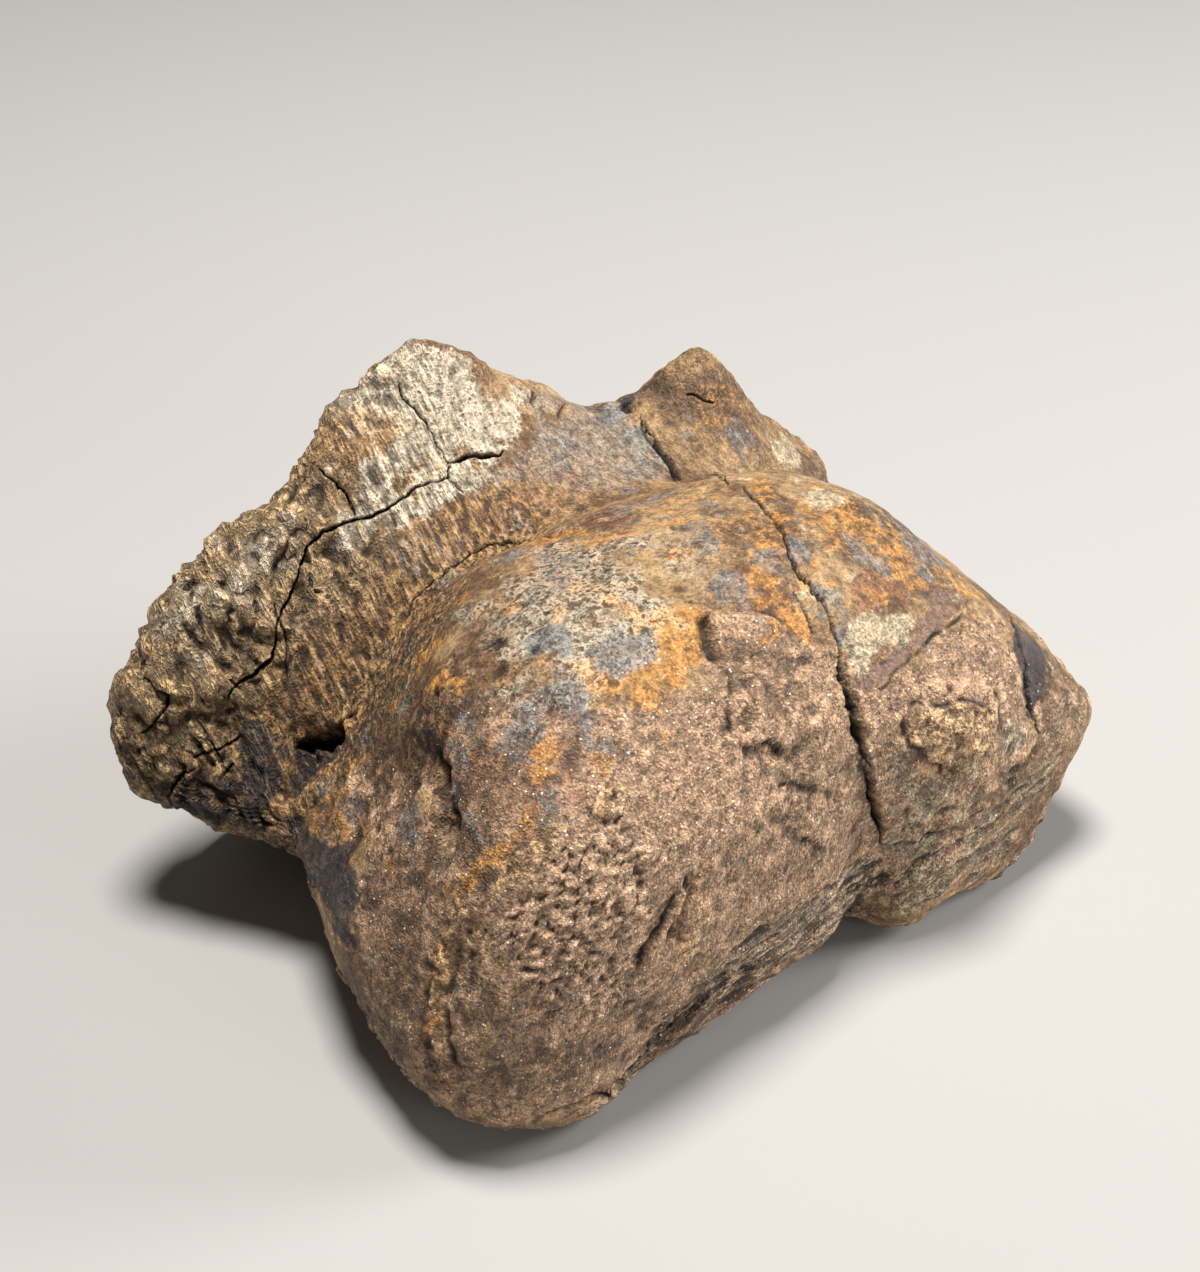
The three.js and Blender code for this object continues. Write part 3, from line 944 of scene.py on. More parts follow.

# Areas that show in the photograph: name, deposit, amount, soft width in pixels, outline
# Outline of the knobs' turned-down underside, where two patches paint shade.
FOOT_OF_KNOBS = ((118, 740), (180, 770), (250, 790), (280, 830), (200, 832), (130, 790))
PATCHES = (
    Patch("crust of the front", Deposit.CRUST, 1.0, 26, (
        (447, 690), (500, 683), (585, 697), (640, 690), (697, 690), (703, 640), (706, 612), (757, 614),
        (800, 640), (838, 650), (862, 694), (887, 678), (935, 633), (965, 611), (1008, 618), (1022, 690),
        (1038, 745), (1010, 800), (960, 860), (890, 905), (800, 965), (700, 1045), (600, 1100),
        (500, 1130), (420, 1090), (372, 1020), (354, 940), (350, 880), (372, 850), (400, 800),
        (430, 770), (440, 720))),
    Patch("crust by the hollow", Deposit.CRUST, 0.8, 18, (
        (345, 770), (392, 762), (430, 790), (440, 850), (380, 860), (352, 830))),
    Patch("thin crust of the right side", Deposit.CRUST, 0.62, 24, (
        (1022, 690), (1060, 680), (1092, 700), (1060, 770), (1010, 850), (960, 895), (880, 920),
        (960, 860), (1010, 800))),
    Patch("porous bone of the crest", Deposit.PALE, 1.0, 30, (
        (412, 358), (445, 352), (478, 372), (512, 398), (528, 428), (512, 448), (466, 452), (438, 446),
        (405, 482), (378, 505), (356, 500), (385, 440), (405, 400))),
    Patch("pale knobs", Deposit.PALE, 0.56, 30, (
        (140, 640), (190, 570), (250, 522), (300, 505), (310, 530), (280, 580), (250, 620), (180, 660))),
    Patch("pale polish below the porous bone", Deposit.PALE, 0.95, 44, (
        (352, 500), (440, 460), (520, 452), (512, 478), (470, 494), (430, 510), (384, 536), (340, 540))),
    Patch("grey polish of the crest", Deposit.LAVENDER, 1.0, 36, (
        (520, 440), (530, 400), (572, 398), (622, 398), (650, 440), (672, 480), (620, 500), (540, 500),
        (470, 500), (440, 505), (420, 495), (455, 470))),
    Patch("grey polish below the crest", Deposit.LAVENDER, 0.5, 30, (
        (380, 520), (440, 490), (480, 510), (460, 545), (420, 580), (390, 600))),
    Patch("blue of the saddle", Deposit.BLUE, 0.75, 26, (
        (590, 405), (625, 400), (655, 445), (668, 478), (640, 470), (600, 440))),
    Patch("blue of the far knob, left", Deposit.BLUE, 0.62, 24, (
        (664, 388), (688, 384), (700, 430), (680, 450))),
    Patch("blue of the far knob, right", Deposit.BLUE, 0.62, 24, (
        (712, 438), (740, 420), (766, 448), (770, 472), (738, 470))),
    Patch("warm red of the left front", Deposit.RUST, 0.44, 60, (
        (452, 700), (560, 720), (600, 800), (560, 860), (470, 860), (440, 780))),
    Patch("yellow tint of the middle front", Deposit.YELLOW, 0.34, 50, (
        (690, 820), (740, 820), (740, 900), (700, 960), (680, 900))),
    Patch("blue behind the crest", Deposit.BLUE, 0.5, 22, ((530, 448), (556, 430), (572, 452), (556, 470))),
    Patch("yellow pocket of the rim", Deposit.YELLOW, 0.9, 16, (
        (326, 428), (350, 408), (372, 396), (400, 420), (402, 436), (372, 440), (345, 438))),
    Patch("rust of the saddle", Deposit.RUST, 0.6, 28, (
        (500, 478), (560, 470), (640, 488), (600, 505), (540, 520), (480, 530), (450, 520))),
    Patch("orange spot of the saddle", Deposit.OCHRE, 0.55, 18, (
        (538, 492), (572, 488), (576, 500), (545, 504))),
    Patch("dark chip", Deposit.BLACK, 1.0, 6, ((619, 394), (632, 396), (636, 414), (628, 418))),
    Patch("dark top of the far knob", Deposit.BLACK, 0.55, 16, (
        (646, 380), (668, 360), (676, 372), (660, 390))),
    Patch("cream of the far knob", Deposit.CREAM, 1.1, 10, (
        (768, 434), (784, 434), (800, 458), (808, 480), (794, 478), (776, 458))),
    Patch("ochre in that cream", Deposit.OCHRE, 0.8, 8, ((780, 448), (790, 450), (800, 466), (792, 468))),
    Patch("cream lip behind the roller", Deposit.CREAM, 0.85, 12, (
        (800, 484), (822, 484), (838, 498), (828, 504), (808, 498))),
    Patch("ochre of the far knob", Deposit.OCHRE, 0.30, 40, (
        (680, 380), (730, 370), (760, 430), (740, 470), (690, 470), (665, 420))),
    Patch("rust of the far knob", Deposit.RUST, 0.5, 30, ((700, 400), (740, 400), (770, 460), (720, 468))),
    Patch("white rough skin of the roller", Deposit.WORM, 0.85, 56, (
        (470, 606), (500, 572), (560, 545), (620, 548), (656, 576), (662, 612), (640, 662), (600, 688),
        (548, 700), (502, 682), (478, 644))),
    Patch("white rough skin further right", Deposit.WORM, 0.5, 30, (
        (650, 530), (700, 520), (730, 560), (700, 600), (660, 600))),
    Patch("tan of the roller", Deposit.OCHRE, 0.34, 40, (
        (500, 540), (620, 515), (700, 490), (760, 500), (790, 560), (700, 560), (600, 560), (500, 600))),
    Patch("blue of the roller, left", Deposit.BLUE, 1.0, 22, (
        (520, 640), (552, 636), (568, 656), (545, 668), (524, 660))),
    Patch("blue of the roller, middle", Deposit.BLUE, 1.2, 20, (
        (596, 646), (618, 632), (644, 640), (646, 660), (622, 672), (600, 668))),
    Patch("blue of the roller, back", Deposit.BLUE, 0.8, 22, (
        (684, 524), (706, 512), (726, 526), (722, 556), (700, 556), (688, 544))),
    Patch("blue of the roller, right", Deposit.BLUE, 0.8, 22, (
        (706, 575), (738, 560), (752, 585), (745, 605), (715, 600))),
    Patch("blue of the left shoulder", Deposit.BLUE, 0.75, 22, (
        (505, 706), (540, 692), (548, 720), (530, 748), (508, 735))),
    Patch("blue beside the front crack", Deposit.BLUE, 0.95, 14, (
        (820, 588), (842, 584), (848, 610), (846, 648), (832, 640), (828, 612))),
    Patch("blue of the right top", Deposit.BLUE, 0.8, 20, (
        (896, 530), (926, 536), (946, 560), (925, 575), (902, 556))),
    Patch("dark spot by the crack", Deposit.BLUE, 0.9, 8, ((792, 540), (806, 542), (808, 560), (796, 566))),
    Patch("orange ochre band", Deposit.OCHRE, 1.05, 22, (
        (576, 690), (592, 672), (640, 668), (656, 648), (664, 616), (688, 604), (704, 612), (700, 650),
        (698, 690), (650, 688), (610, 700))),
    Patch("orange ochre near the crack", Deposit.OCHRE, 0.95, 22, (
        (742, 574), (758, 560), (776, 562), (782, 590), (800, 610), (806, 640), (786, 634), (764, 610),
        (748, 600))),
    Patch("ochre of the right top", Deposit.OCHRE, 0.62, 30, (
        (800, 510), (850, 506), (905, 530), (960, 580), (990, 604), (940, 596), (905, 576), (860, 560),
        (815, 560))),
    Patch("rust of the right top", Deposit.RUST, 1.0, 14, (
        (845, 582), (880, 572), (908, 580), (910, 606), (880, 612), (850, 618))),
    Patch("red spot of the roller", Deposit.RUST, 0.9, 12, (
        (606, 516), (626, 514), (634, 526), (616, 534))),
    Patch("rust of the left shoulder", Deposit.RUST, 0.55, 24, (
        (468, 630), (500, 626), (506, 670), (480, 690), (462, 668))),
    Patch("cream triangle", Deposit.CREAM, 1.15, 12, (
        (846, 622), (880, 618), (922, 616), (905, 636), (880, 656), (856, 672), (850, 650))),
    Patch("smooth mauve band", Deposit.MAUVE, 1.3, 7, (
        (918, 590), (938, 585), (960, 600), (966, 609), (935, 633), (911, 655), (887, 679), (862, 694),
        (852, 684), (866, 668), (895, 648), (918, 625), (928, 606))),
    Patch("yellow flake", Deposit.YELLOW, 0.95, 12, (
        (902, 710), (930, 706), (957, 702), (988, 704), (1000, 722), (984, 740), (975, 760), (952, 780),
        (930, 758), (910, 742))),
    Patch("cream spot on the right", Deposit.CREAM, 1.0, 8, (
        (1004, 732), (1018, 730), (1020, 748), (1008, 758), (1002, 746))),
    Patch("yellow of the front", Deposit.YELLOW, 1.0, 12, (
        (562, 838), (588, 812), (606, 792), (620, 790), (612, 808), (590, 826), (574, 846))),
    Patch("yellow line of the front", Deposit.YELLOW, 1.0, 12, (
        (482, 890), (500, 870), (530, 846), (548, 828), (560, 836), (535, 866), (505, 892), (490, 920),
        (480, 915))),
    Patch("blue line of the front", Deposit.BLUE, 0.6, 12, (
        (536, 800), (552, 786), (560, 800), (546, 830), (536, 826))),
    Patch("yellow line of the left side", Deposit.YELLOW, 1.3, 10, (
        (446, 902), (460, 898), (486, 926), (480, 944), (458, 940), (450, 970), (440, 1010), (430, 1012),
        (434, 970), (444, 930))),
    Patch("yellow foot of that line", Deposit.YELLOW, 0.7, 10, (
        (430, 1030), (440, 1030), (452, 1085), (440, 1085))),
    Patch("orange by the hollow", Deposit.OCHRE, 0.6, 16, (
        (318, 800), (345, 786), (372, 800), (376, 840), (352, 846), (330, 826))),
    Patch("blue by the hollow", Deposit.BLUE, 0.7, 14, (
        (342, 798), (360, 790), (370, 812), (356, 826), (344, 816))),
    Patch("blue-black side", Deposit.BLACK, 1.15, 10, (
        (288, 822), (300, 818), (318, 838), (350, 846), (360, 868), (356, 905), (352, 945), (335, 925),
        (315, 890), (296, 858))),
    Patch("blue-black under the knobs", Deposit.BLACK, 1.15, 18, (
        (240, 716), (262, 724), (280, 748), (286, 800), (262, 822), (240, 800), (228, 762))),
    # Painted shade: the underside of the knobs, turned down and away from the light.
    Patch("painted shade under the knobs", Deposit.UMBER, 0.85, 44, FOOT_OF_KNOBS),
    Patch("dark fibres of the left waist", Deposit.UMBER, 1.5, 44, (
        (392, 640), (436, 622), (448, 700), (436, 770), (372, 778), (352, 740), (372, 700))),
    Patch("dark stains of the left shoulder", Deposit.UMBER, 0.62, 36, (
        (455, 600), (500, 575), (524, 620), (512, 680), (476, 730), (450, 760), (440, 700))),
    # Painted shade: the lower front, darker towards the bottom as less light reaches it.
    Patch("painted shade of the lower front", Deposit.UMBER, 0.62, 80, (
        (440, 960), (520, 1000), (600, 1010), (700, 960), (780, 920), (800, 960), (700, 1040), (600, 1100),
        (500, 1130), (420, 1090))),
    Patch("dark stains of the left front", Deposit.UMBER, 0.68, 50, (
        (372, 850), (440, 860), (450, 960), (440, 1060), (400, 1060), (360, 960))),
    Patch("rough ground beside the pits", Deposit.ROUGH, 1.0, 26, (
        (404, 700), (430, 690), (446, 740), (458, 800), (468, 856), (440, 872), (418, 850), (408, 790))),
    Patch("rough left shoulder", Deposit.ROUGH, 0.5, 30, (
        (462, 610), (500, 580), (560, 600), (566, 660), (556, 700), (520, 750), (480, 760), (452, 720))),
    Patch("rough ground of the hollow", Deposit.ROUGH, 0.8, 22, (
        (300, 790), (350, 770), (404, 790), (424, 850), (390, 870), (350, 852), (310, 830))),
    Patch("rough left front", Deposit.ROUGH, 0.5, 30, (
        (420, 880), (500, 870), (500, 940), (470, 1000), (466, 1080), (430, 1090), (410, 1000))),
    Patch("rough right crust", Deposit.ROUGH, 0.5, 36, (
        (890, 690), (1000, 660), (1020, 740), (1004, 820), (940, 860), (886, 820), (872, 740))),
    Patch("rough lower plate", Deposit.ROUGH, 0.3, 36, (
        (716, 640), (800, 650), (840, 760), (850, 860), (800, 880), (740, 840), (716, 740))),
    Patch("rough blue-black side", Deposit.ROUGH, 0.6, 20, (
        (282, 800), (330, 812), (366, 860), (366, 960), (340, 950), (300, 880))),
    Patch("brown of the roller's top", Deposit.UMBER, 0.5, 40, (
        (480, 560), (560, 540), (640, 560), (640, 640), (560, 640), (500, 620))),
    Patch("brown of the far knob", Deposit.UMBER, 0.55, 40, (
        (640, 370), (700, 352), (748, 400), (780, 470), (700, 470), (650, 420))),
    Patch("pale folds beside the crest", Deposit.PALE, 0.9, 36, (
        (330, 400), (360, 358), (410, 340), (440, 350), (424, 400), (384, 444), (340, 444))),
    Patch("brown beside the yellow line", Deposit.UMBER, 0.62, 40, (
        (455, 790), (500, 790), (540, 840), (510, 900), (466, 900), (446, 840))),
    Patch("ochre of the yellow line", Deposit.OCHRE, 0.66, 10, (
        (422, 1040), (438, 1040), (450, 950), (466, 900), (502, 862), (547, 812), (538, 798), (490, 845),
        (450, 890), (432, 950))),
    Patch("brown of the corner", Deposit.UMBER, 0.5, 24, (
        (1056, 660), (1086, 690), (1090, 720), (1060, 760), (1046, 750), (1052, 700))),
    Patch("brown of the right top", Deposit.UMBER, 0.9, 30, (
        (850, 502), (920, 520), (965, 568), (930, 578), (890, 556), (856, 545))),
    Patch("brown of the plate", Deposit.UMBER, 0.52, 34, (
        (716, 630), (780, 630), (812, 690), (800, 740), (750, 740), (722, 700))),
    Patch("brown of the front, left", Deposit.UMBER, 0.46, 50, (
        (456, 720), (540, 730), (560, 800), (500, 860), (440, 850))),
    Patch("pale dust of the right crust", Deposit.CREAM, 0.66, 60, (
        (880, 760), (960, 770), (1010, 730), (1000, 820), (930, 860), (880, 830))),
    Patch("pale dust of the lower right facet", Deposit.CREAM, 0.42, 40, (
        (880, 870), (940, 850), (1010, 800), (1050, 750), (1040, 810), (980, 880), (900, 915))),
    # Painted shade: more dark on the turned-down underside of the knobs.
    Patch("painted black shade under the knobs", Deposit.BLACK, 0.56, 40, FOOT_OF_KNOBS),
    # Painted shade in the hollow under the waist.
    Patch("painted shade of the waist hollow", Deposit.BLACK, 0.9, 12, (
        (294, 744), (330, 738), (352, 716), (350, 732), (330, 752), (304, 776), (286, 812), (282, 780))),
    # Painted shade in the deep pits beside the waist.
    Patch("painted shade in the deep pits", Deposit.UMBER, 1.0, 18, (
        (416, 730), (430, 722), (446, 760), (452, 820), (460, 856), (430, 850), (424, 790))),
    Patch("ochre beyond the leaf", Deposit.YELLOW, 0.62, 22, (
        (696, 862), (716, 850), (712, 900), (690, 950), (668, 980), (676, 940), (692, 905))),
    Patch("dark streaks of the right facet", Deposit.UMBER, 0.8, 14, (
        (1042, 742), (1036, 770), (1000, 806), (950, 830), (944, 816), (986, 794), (1014, 764))),
    # Painted shade inside the open split at the corner.
    Patch("painted shade in the split at the corner", Deposit.BLACK, 1.5, 7, (
        (1010, 616), (1020, 622), (1030, 640), (1041, 660), (1046, 684), (1044, 708), (1040, 733),
        (1033, 716), (1027, 692), (1021, 668), (1012, 640))),
    Patch("dark facet beside the lens", Deposit.UMBER, 0.9, 12, (
        (1024, 628), (1044, 648), (1058, 676), (1056, 706), (1046, 732), (1042, 700), (1038, 664))),
    Patch("bare corner", Deposit.CREAM, 0.36, 20, (
        (1052, 650), (1080, 680), (1092, 705), (1075, 745), (1045, 760), (1048, 710))),
    Patch("warty skin", Deposit.WART, 1.0, 26, (
        (585, 822), (612, 796), (640, 820), (656, 866), (652, 910), (640, 950), (622, 996), (596, 1042),
        (545, 1018), (512, 970), (504, 920), (524, 880), (560, 856))),
    Patch("fibrous layers of the lower margin", Deposit.LAMINA, 1.0, 16, (
        (880, 850), (900, 872), (860, 915), (806, 960), (740, 1000), (690, 1040), (640, 1088),
        (600, 1108), (560, 1116), (592, 1082), (650, 1036), (704, 980), (730, 950), (786, 914))),
    Patch("fibrous layers of the right side", Deposit.LAMINA, 0.7, 26, (
        (1060, 752), (1040, 800), (1000, 862), (930, 905), (850, 925), (900, 885), (960, 850),
        (1010, 790))),
    Patch("fibrous layers of the left edge", Deposit.LAMINA, 0.55, 14, (
        (300, 870), (330, 930), (350, 990), (375, 1050), (360, 1040), (335, 980), (310, 920))),
    # Painted shade on the lower margin, which turns down into shadow.
    Patch("painted shade of the lower margin", Deposit.UMBER, 0.45, 26, (
        (560, 1116), (650, 1046), (720, 986), (800, 950), (880, 900), (900, 905), (800, 975),
        (700, 1040), (600, 1118))),
    Patch("rust of the lower skin", Deposit.RUST, 0.7, 16, (
        (640, 1062), (700, 1004), (760, 968), (790, 960), (760, 992), (700, 1036), (640, 1090))),
)

# Knobs and hollows of the solid: place, reach and height in millimetres
SWELLINGS = (
    ((-40, 26, 40), 3.5, 1.2),
    ((-35, 28, 44), 3, 0.9),
    ((-45, 27, 36), 3, -0.8),
    ((-48, 27, 31), 3.5, 1.1),
    ((-44, 24, 33), 3, 1.2),
    ((-39, 24, 37), 2.5, -1),
    ((-33, 27, 43), 3, -0.7),
    ((-28, 28, 46), 3.5, 1.2),
    ((-49, 24, 24), 4, 0.9),
    ((-43, 21, 28), 3, -0.9),
    ((-19, 30, 53), 3.5, 1),
    ((-13, 32, 55), 3, -0.7),
    ((-23, 27, 47), 3, -0.8),
    ((32, 28, 46), 4, 0.8),
    ((-37, 14, 26), 3, -2.6),
    ((-36, -9, 39), 3, -1.3),
    ((-40, -18, 35), 3, -1.3),
    ((-47, -8, 17), 6, 0.7),
    ((-4, -27, 42), 7, 0.7),
    ((-30, -31, 37), 8, 0.6),
    ((21, -33, 29), 4, 0.8),
    ((36, -31, 25), 5, -0.8),
    ((-32, -32, 3), 5, 1.2),
    ((-36, 33, 24), 9, -0.8),
    ((26, 33, 24), 9, -0.8),
)

# Directions of the fibres, and the deposits that aren't worn away in spots
BONE_GRAIN = (0.05, -0.65, -0.75)
MARGIN_GRAIN = (1.0, 0.12, 0.10)
SOLID_DEPOSITS = (Deposit.CRUST, Deposit.MAUVE, Deposit.WART, Deposit.LAMINA)


@dataclass
class Regions:
    """How much each point belongs to each part of the bone, from 0 to 1."""

    skin: Skin

    def band(self, low: float, full: float, fade: float, high: float) -> Array:
        """Share between two shape lines: 0 at low, 1 from full to fade, 0 again at high."""
        return smoothstep(low, full, self.skin.around) * smoothstep(high, fade, self.skin.around)

    @property
    def flange(self) -> Array:
        """The raised plate from the waist to its rim."""
        return self.band(10.2, 11.0, 12.5, 13.2)

    @property
    def knobs(self) -> Array:
        """The crumpled left part of the flange, its back edge, and the rim as far as the crest.

        Returns:
            The greater of the plate's share and the rim's share.
        """
        plate = self.band(10.4, 11.1, 13.2, 14.2) * smoothstep(0.43, 0.30, self.skin.along)
        rim = self.band(11.7, 12.2, 13.2, 14.2) * smoothstep(0.50, 0.42, self.skin.along)
        return np.maximum(plate, rim)

    @property
    def waist(self) -> Array:
        """The saddle between the rolling end and the flange."""
        return self.band(9.0, 9.9, 11.6, 12.2)

    @property
    def left_waist(self) -> Array:
        """The striped left end of the saddle."""
        return self.band(8.4, 9.2, 10.6, 11.2) * smoothstep(0.36, 0.26, self.skin.along)

    @property
    def front(self) -> Array:
        """The front of the rolling end."""
        return self.band(2.4, 3.2, 5.6, 6.8)

    @property
    def sole(self) -> Array:
        """The underside."""
        return 1.0 - self.band(2.6, 3.2, 15.0, 15.6)

    @property
    def joint(self) -> Array:
        """The hollow joint face at the back."""
        return self.band(12.9, 13.6, 15.2, 15.8)

    @property
    def right_side(self) -> Array:
        """The right end, around its hollow."""
        return smoothstep(0.84, 0.93, self.skin.along)

    @property
    def left_side(self) -> Array:
        """The left end, around its hollow."""
        return smoothstep(0.17, 0.08, self.skin.along)


@dataclass
class Deposits:
    """Works out how much of each deposit lies at every point. The lengths are in millimetres."""

    skin: Skin
    normals: Array
    regions: Regions
    grain: Grain
    polish: float = 0.72
    crack_reach: float = 2.5
    least_crack: float = 0.13
    edge_reach: float = 1.5

    def hidden(self) -> dict[Deposit, Array]:
        """Deposits where the photograph doesn't look, by part of the bone and noise.

        Returns:
            An amount from 0 to about 1 for each deposit that has a rule.
        """
        points, grain, regions = self.skin.points, self.grain, self.regions
        cloud = grain.layered(points, 16.0, 3)
        other = grain.layered(points + 60.0, 12.0, 3)
        joint = regions.joint
        return {
            Deposit.CRUST: np.clip(0.95 * regions.sole + 0.9 * regions.front
                                   + joint * (0.5 + 0.9 * cloud) + 0.75 * regions.right_side
                                   + 0.35 * regions.left_side, 0.0, 1.0),
            Deposit.PALE: joint * smoothstep(-0.05, 0.5, -cloud) * 0.8,
            Deposit.OCHRE: smoothstep(0.30, 0.75, other) * (0.75 * joint + 0.35),
            Deposit.BLUE: smoothstep(0.35, 0.8, -other) * 0.6,
            Deposit.BLACK: np.clip(regions.sole * smoothstep(0.1, 0.7, other) * 0.5
                                   + regions.left_side * smoothstep(-0.1, 0.5, cloud) * 0.7, 0.0, 1.0),
            Deposit.YELLOW: smoothstep(0.42, 0.9, grain.layered(points + 120.0, 9.0, 2)) * 0.7,
            Deposit.RUST: smoothstep(0.30, 0.8, grain.layered(points + 170.0, 13.0, 2)) * 0.6,
            Deposit.LAMINA: np.clip(regions.right_side * 0.7
                                    + regions.band(2.2, 2.7, 3.3, 3.8) * 0.8
                                    + regions.band(14.8, 15.2, 15.7, 16.0) * 0.7, 0.0, 1.0),
        }

    def sprinkled(self) -> dict[Deposit, Array]:
        """Thin scattered stains among the outlined patches.

        Returns:
            Amounts from noise of a few millimetres, stronger on the top of the rolling end.
        """
        regions, grain, points = self.regions, self.grain, self.skin.points
        top = regions.band(5.6, 6.4, 9.6, 10.4)
        right = smoothstep(0.55, 0.7, self.skin.along)
        wide = {deposit: smoothstep(low, 0.8, grain.layered(points + shift, size, 3))
                for deposit, low, shift, size in (
                    (Deposit.OCHRE, 0.05, 11.0, 4.5), (Deposit.BLUE, 0.10, 23.0, 5.0),
                    (Deposit.RUST, 0.15, 37.0, 4.0), (Deposit.YELLOW, 0.25, 53.0, 3.5),
                    (Deposit.PALE, 0.10, 67.0, 4.0), (Deposit.UMBER, 0.05, 83.0, 3.6))}
        share = {Deposit.OCHRE: 0.60 * top + 0.18, Deposit.BLUE: 0.62 * top + 0.15,
                 Deposit.RUST: 0.5 * top + 0.28, Deposit.YELLOW: 0.3 * regions.front,
                 Deposit.PALE: 0.42 * top + 0.15 * right, Deposit.UMBER: 0.45 * top + 0.35}
        return {deposit: wide[deposit] * share[deposit] for deposit in wide}

    def everywhere(self) -> dict[Deposit, Array]:
        """Surface kinds that follow the parts of the bone on every side.

        Returns:
            Fibres on the flange and the waist, weaker where the right part is polished, and folds
            on the knobs.
        """
        regions = self.regions
        polished = 1.0 - self.polish * smoothstep(0.38, 0.52, self.skin.along)
        fibres = np.maximum(regions.flange, regions.waist) * (1.0 - regions.knobs) * polished
        return {Deposit.FIBRE: np.maximum(fibres, regions.left_waist), Deposit.FOLD: regions.knobs}

    def painted_line_shade(self, trace: Trace) -> tuple[Array, Array]:
        """How much painted shade one mark lays on the points beside it.

        Args:
            trace: The mark on the surface.

        Returns:
            Numbers of the points near the mark, and the painted shade of each from 0 to 1. A crack
            gets painted shade within its half width, and an edge gets a painted shadow in broken
            stretches along its foot.
        """
        points = self.skin.points
        if trace.mark.kind is MarkKind.CRACK:
            near = trace.measure(points, self.normals, self.crack_reach)
            inner = np.maximum(near.half, self.least_crack)
            return near.rows, smoothstep(1.35, 0.55, near.distance / inner)
        near = trace.measure(points, self.normals, self.edge_reach)
        across = near.side * near.distance
        foot = smoothstep(-0.55, -0.22, across) * smoothstep(0.14, -0.10, across)
        broken = smoothstep(-0.5, 0.3, self.grain.layered(points[near.rows] + 31.0, 2.4, 2))
        ends = smoothstep(0.0, 0.1, near.share) * smoothstep(1.0, 0.9, near.share)
        return near.rows, foot * broken * ends

    def amounts(self, traces: list[Trace]) -> dict[Deposit, Array]:
        """All deposits: patches and cracks where the photograph looks, rules elsewhere.

        Args:
            traces: Marks laid onto the surface.

        Returns:
            One array of amounts for each deposit.
        """
        points = self.skin.points
        seen = VIEW.seen(points, self.normals)
        pixels = VIEW.pixels(points)[0]
        ragged = self.grain.layered(points + 7.0, 5.0, 3)
        result = {deposit: np.zeros(len(points)) for deposit in Deposit}
        worn = np.clip(1.0 + 0.45 * self.grain.layered(points + 140.0, 3.2, 3), 0.0, 1.5)
        for patch in PATCHES:
            covered = patch.inside(pixels, ragged)
            if patch.deposit not in SOLID_DEPOSITS:
                covered = covered * worn
            result[patch.deposit] = np.maximum(result[patch.deposit], covered)
        for deposit, sprinkled in self.sprinkled().items():
            result[deposit] = np.maximum(result[deposit], sprinkled)
        rules = self.hidden()
        for deposit in Deposit:
            rule = rules.get(deposit, 0.0)
            result[deposit] = seen * result[deposit] + (1.0 - seen) * rule
        result.update(self.everywhere())
        # Painted shade in cracks and painted shadow along the feet of ledges, kept in the crack attribute.
        line_shade = result[Deposit.CRACK]
        for trace in traces:
            if trace.mark.kind in (MarkKind.CRACK, MarkKind.EDGE):
                rows, dark = self.painted_line_shade(trace)
                line_shade[rows] = np.maximum(line_shade[rows], dark)
        return result


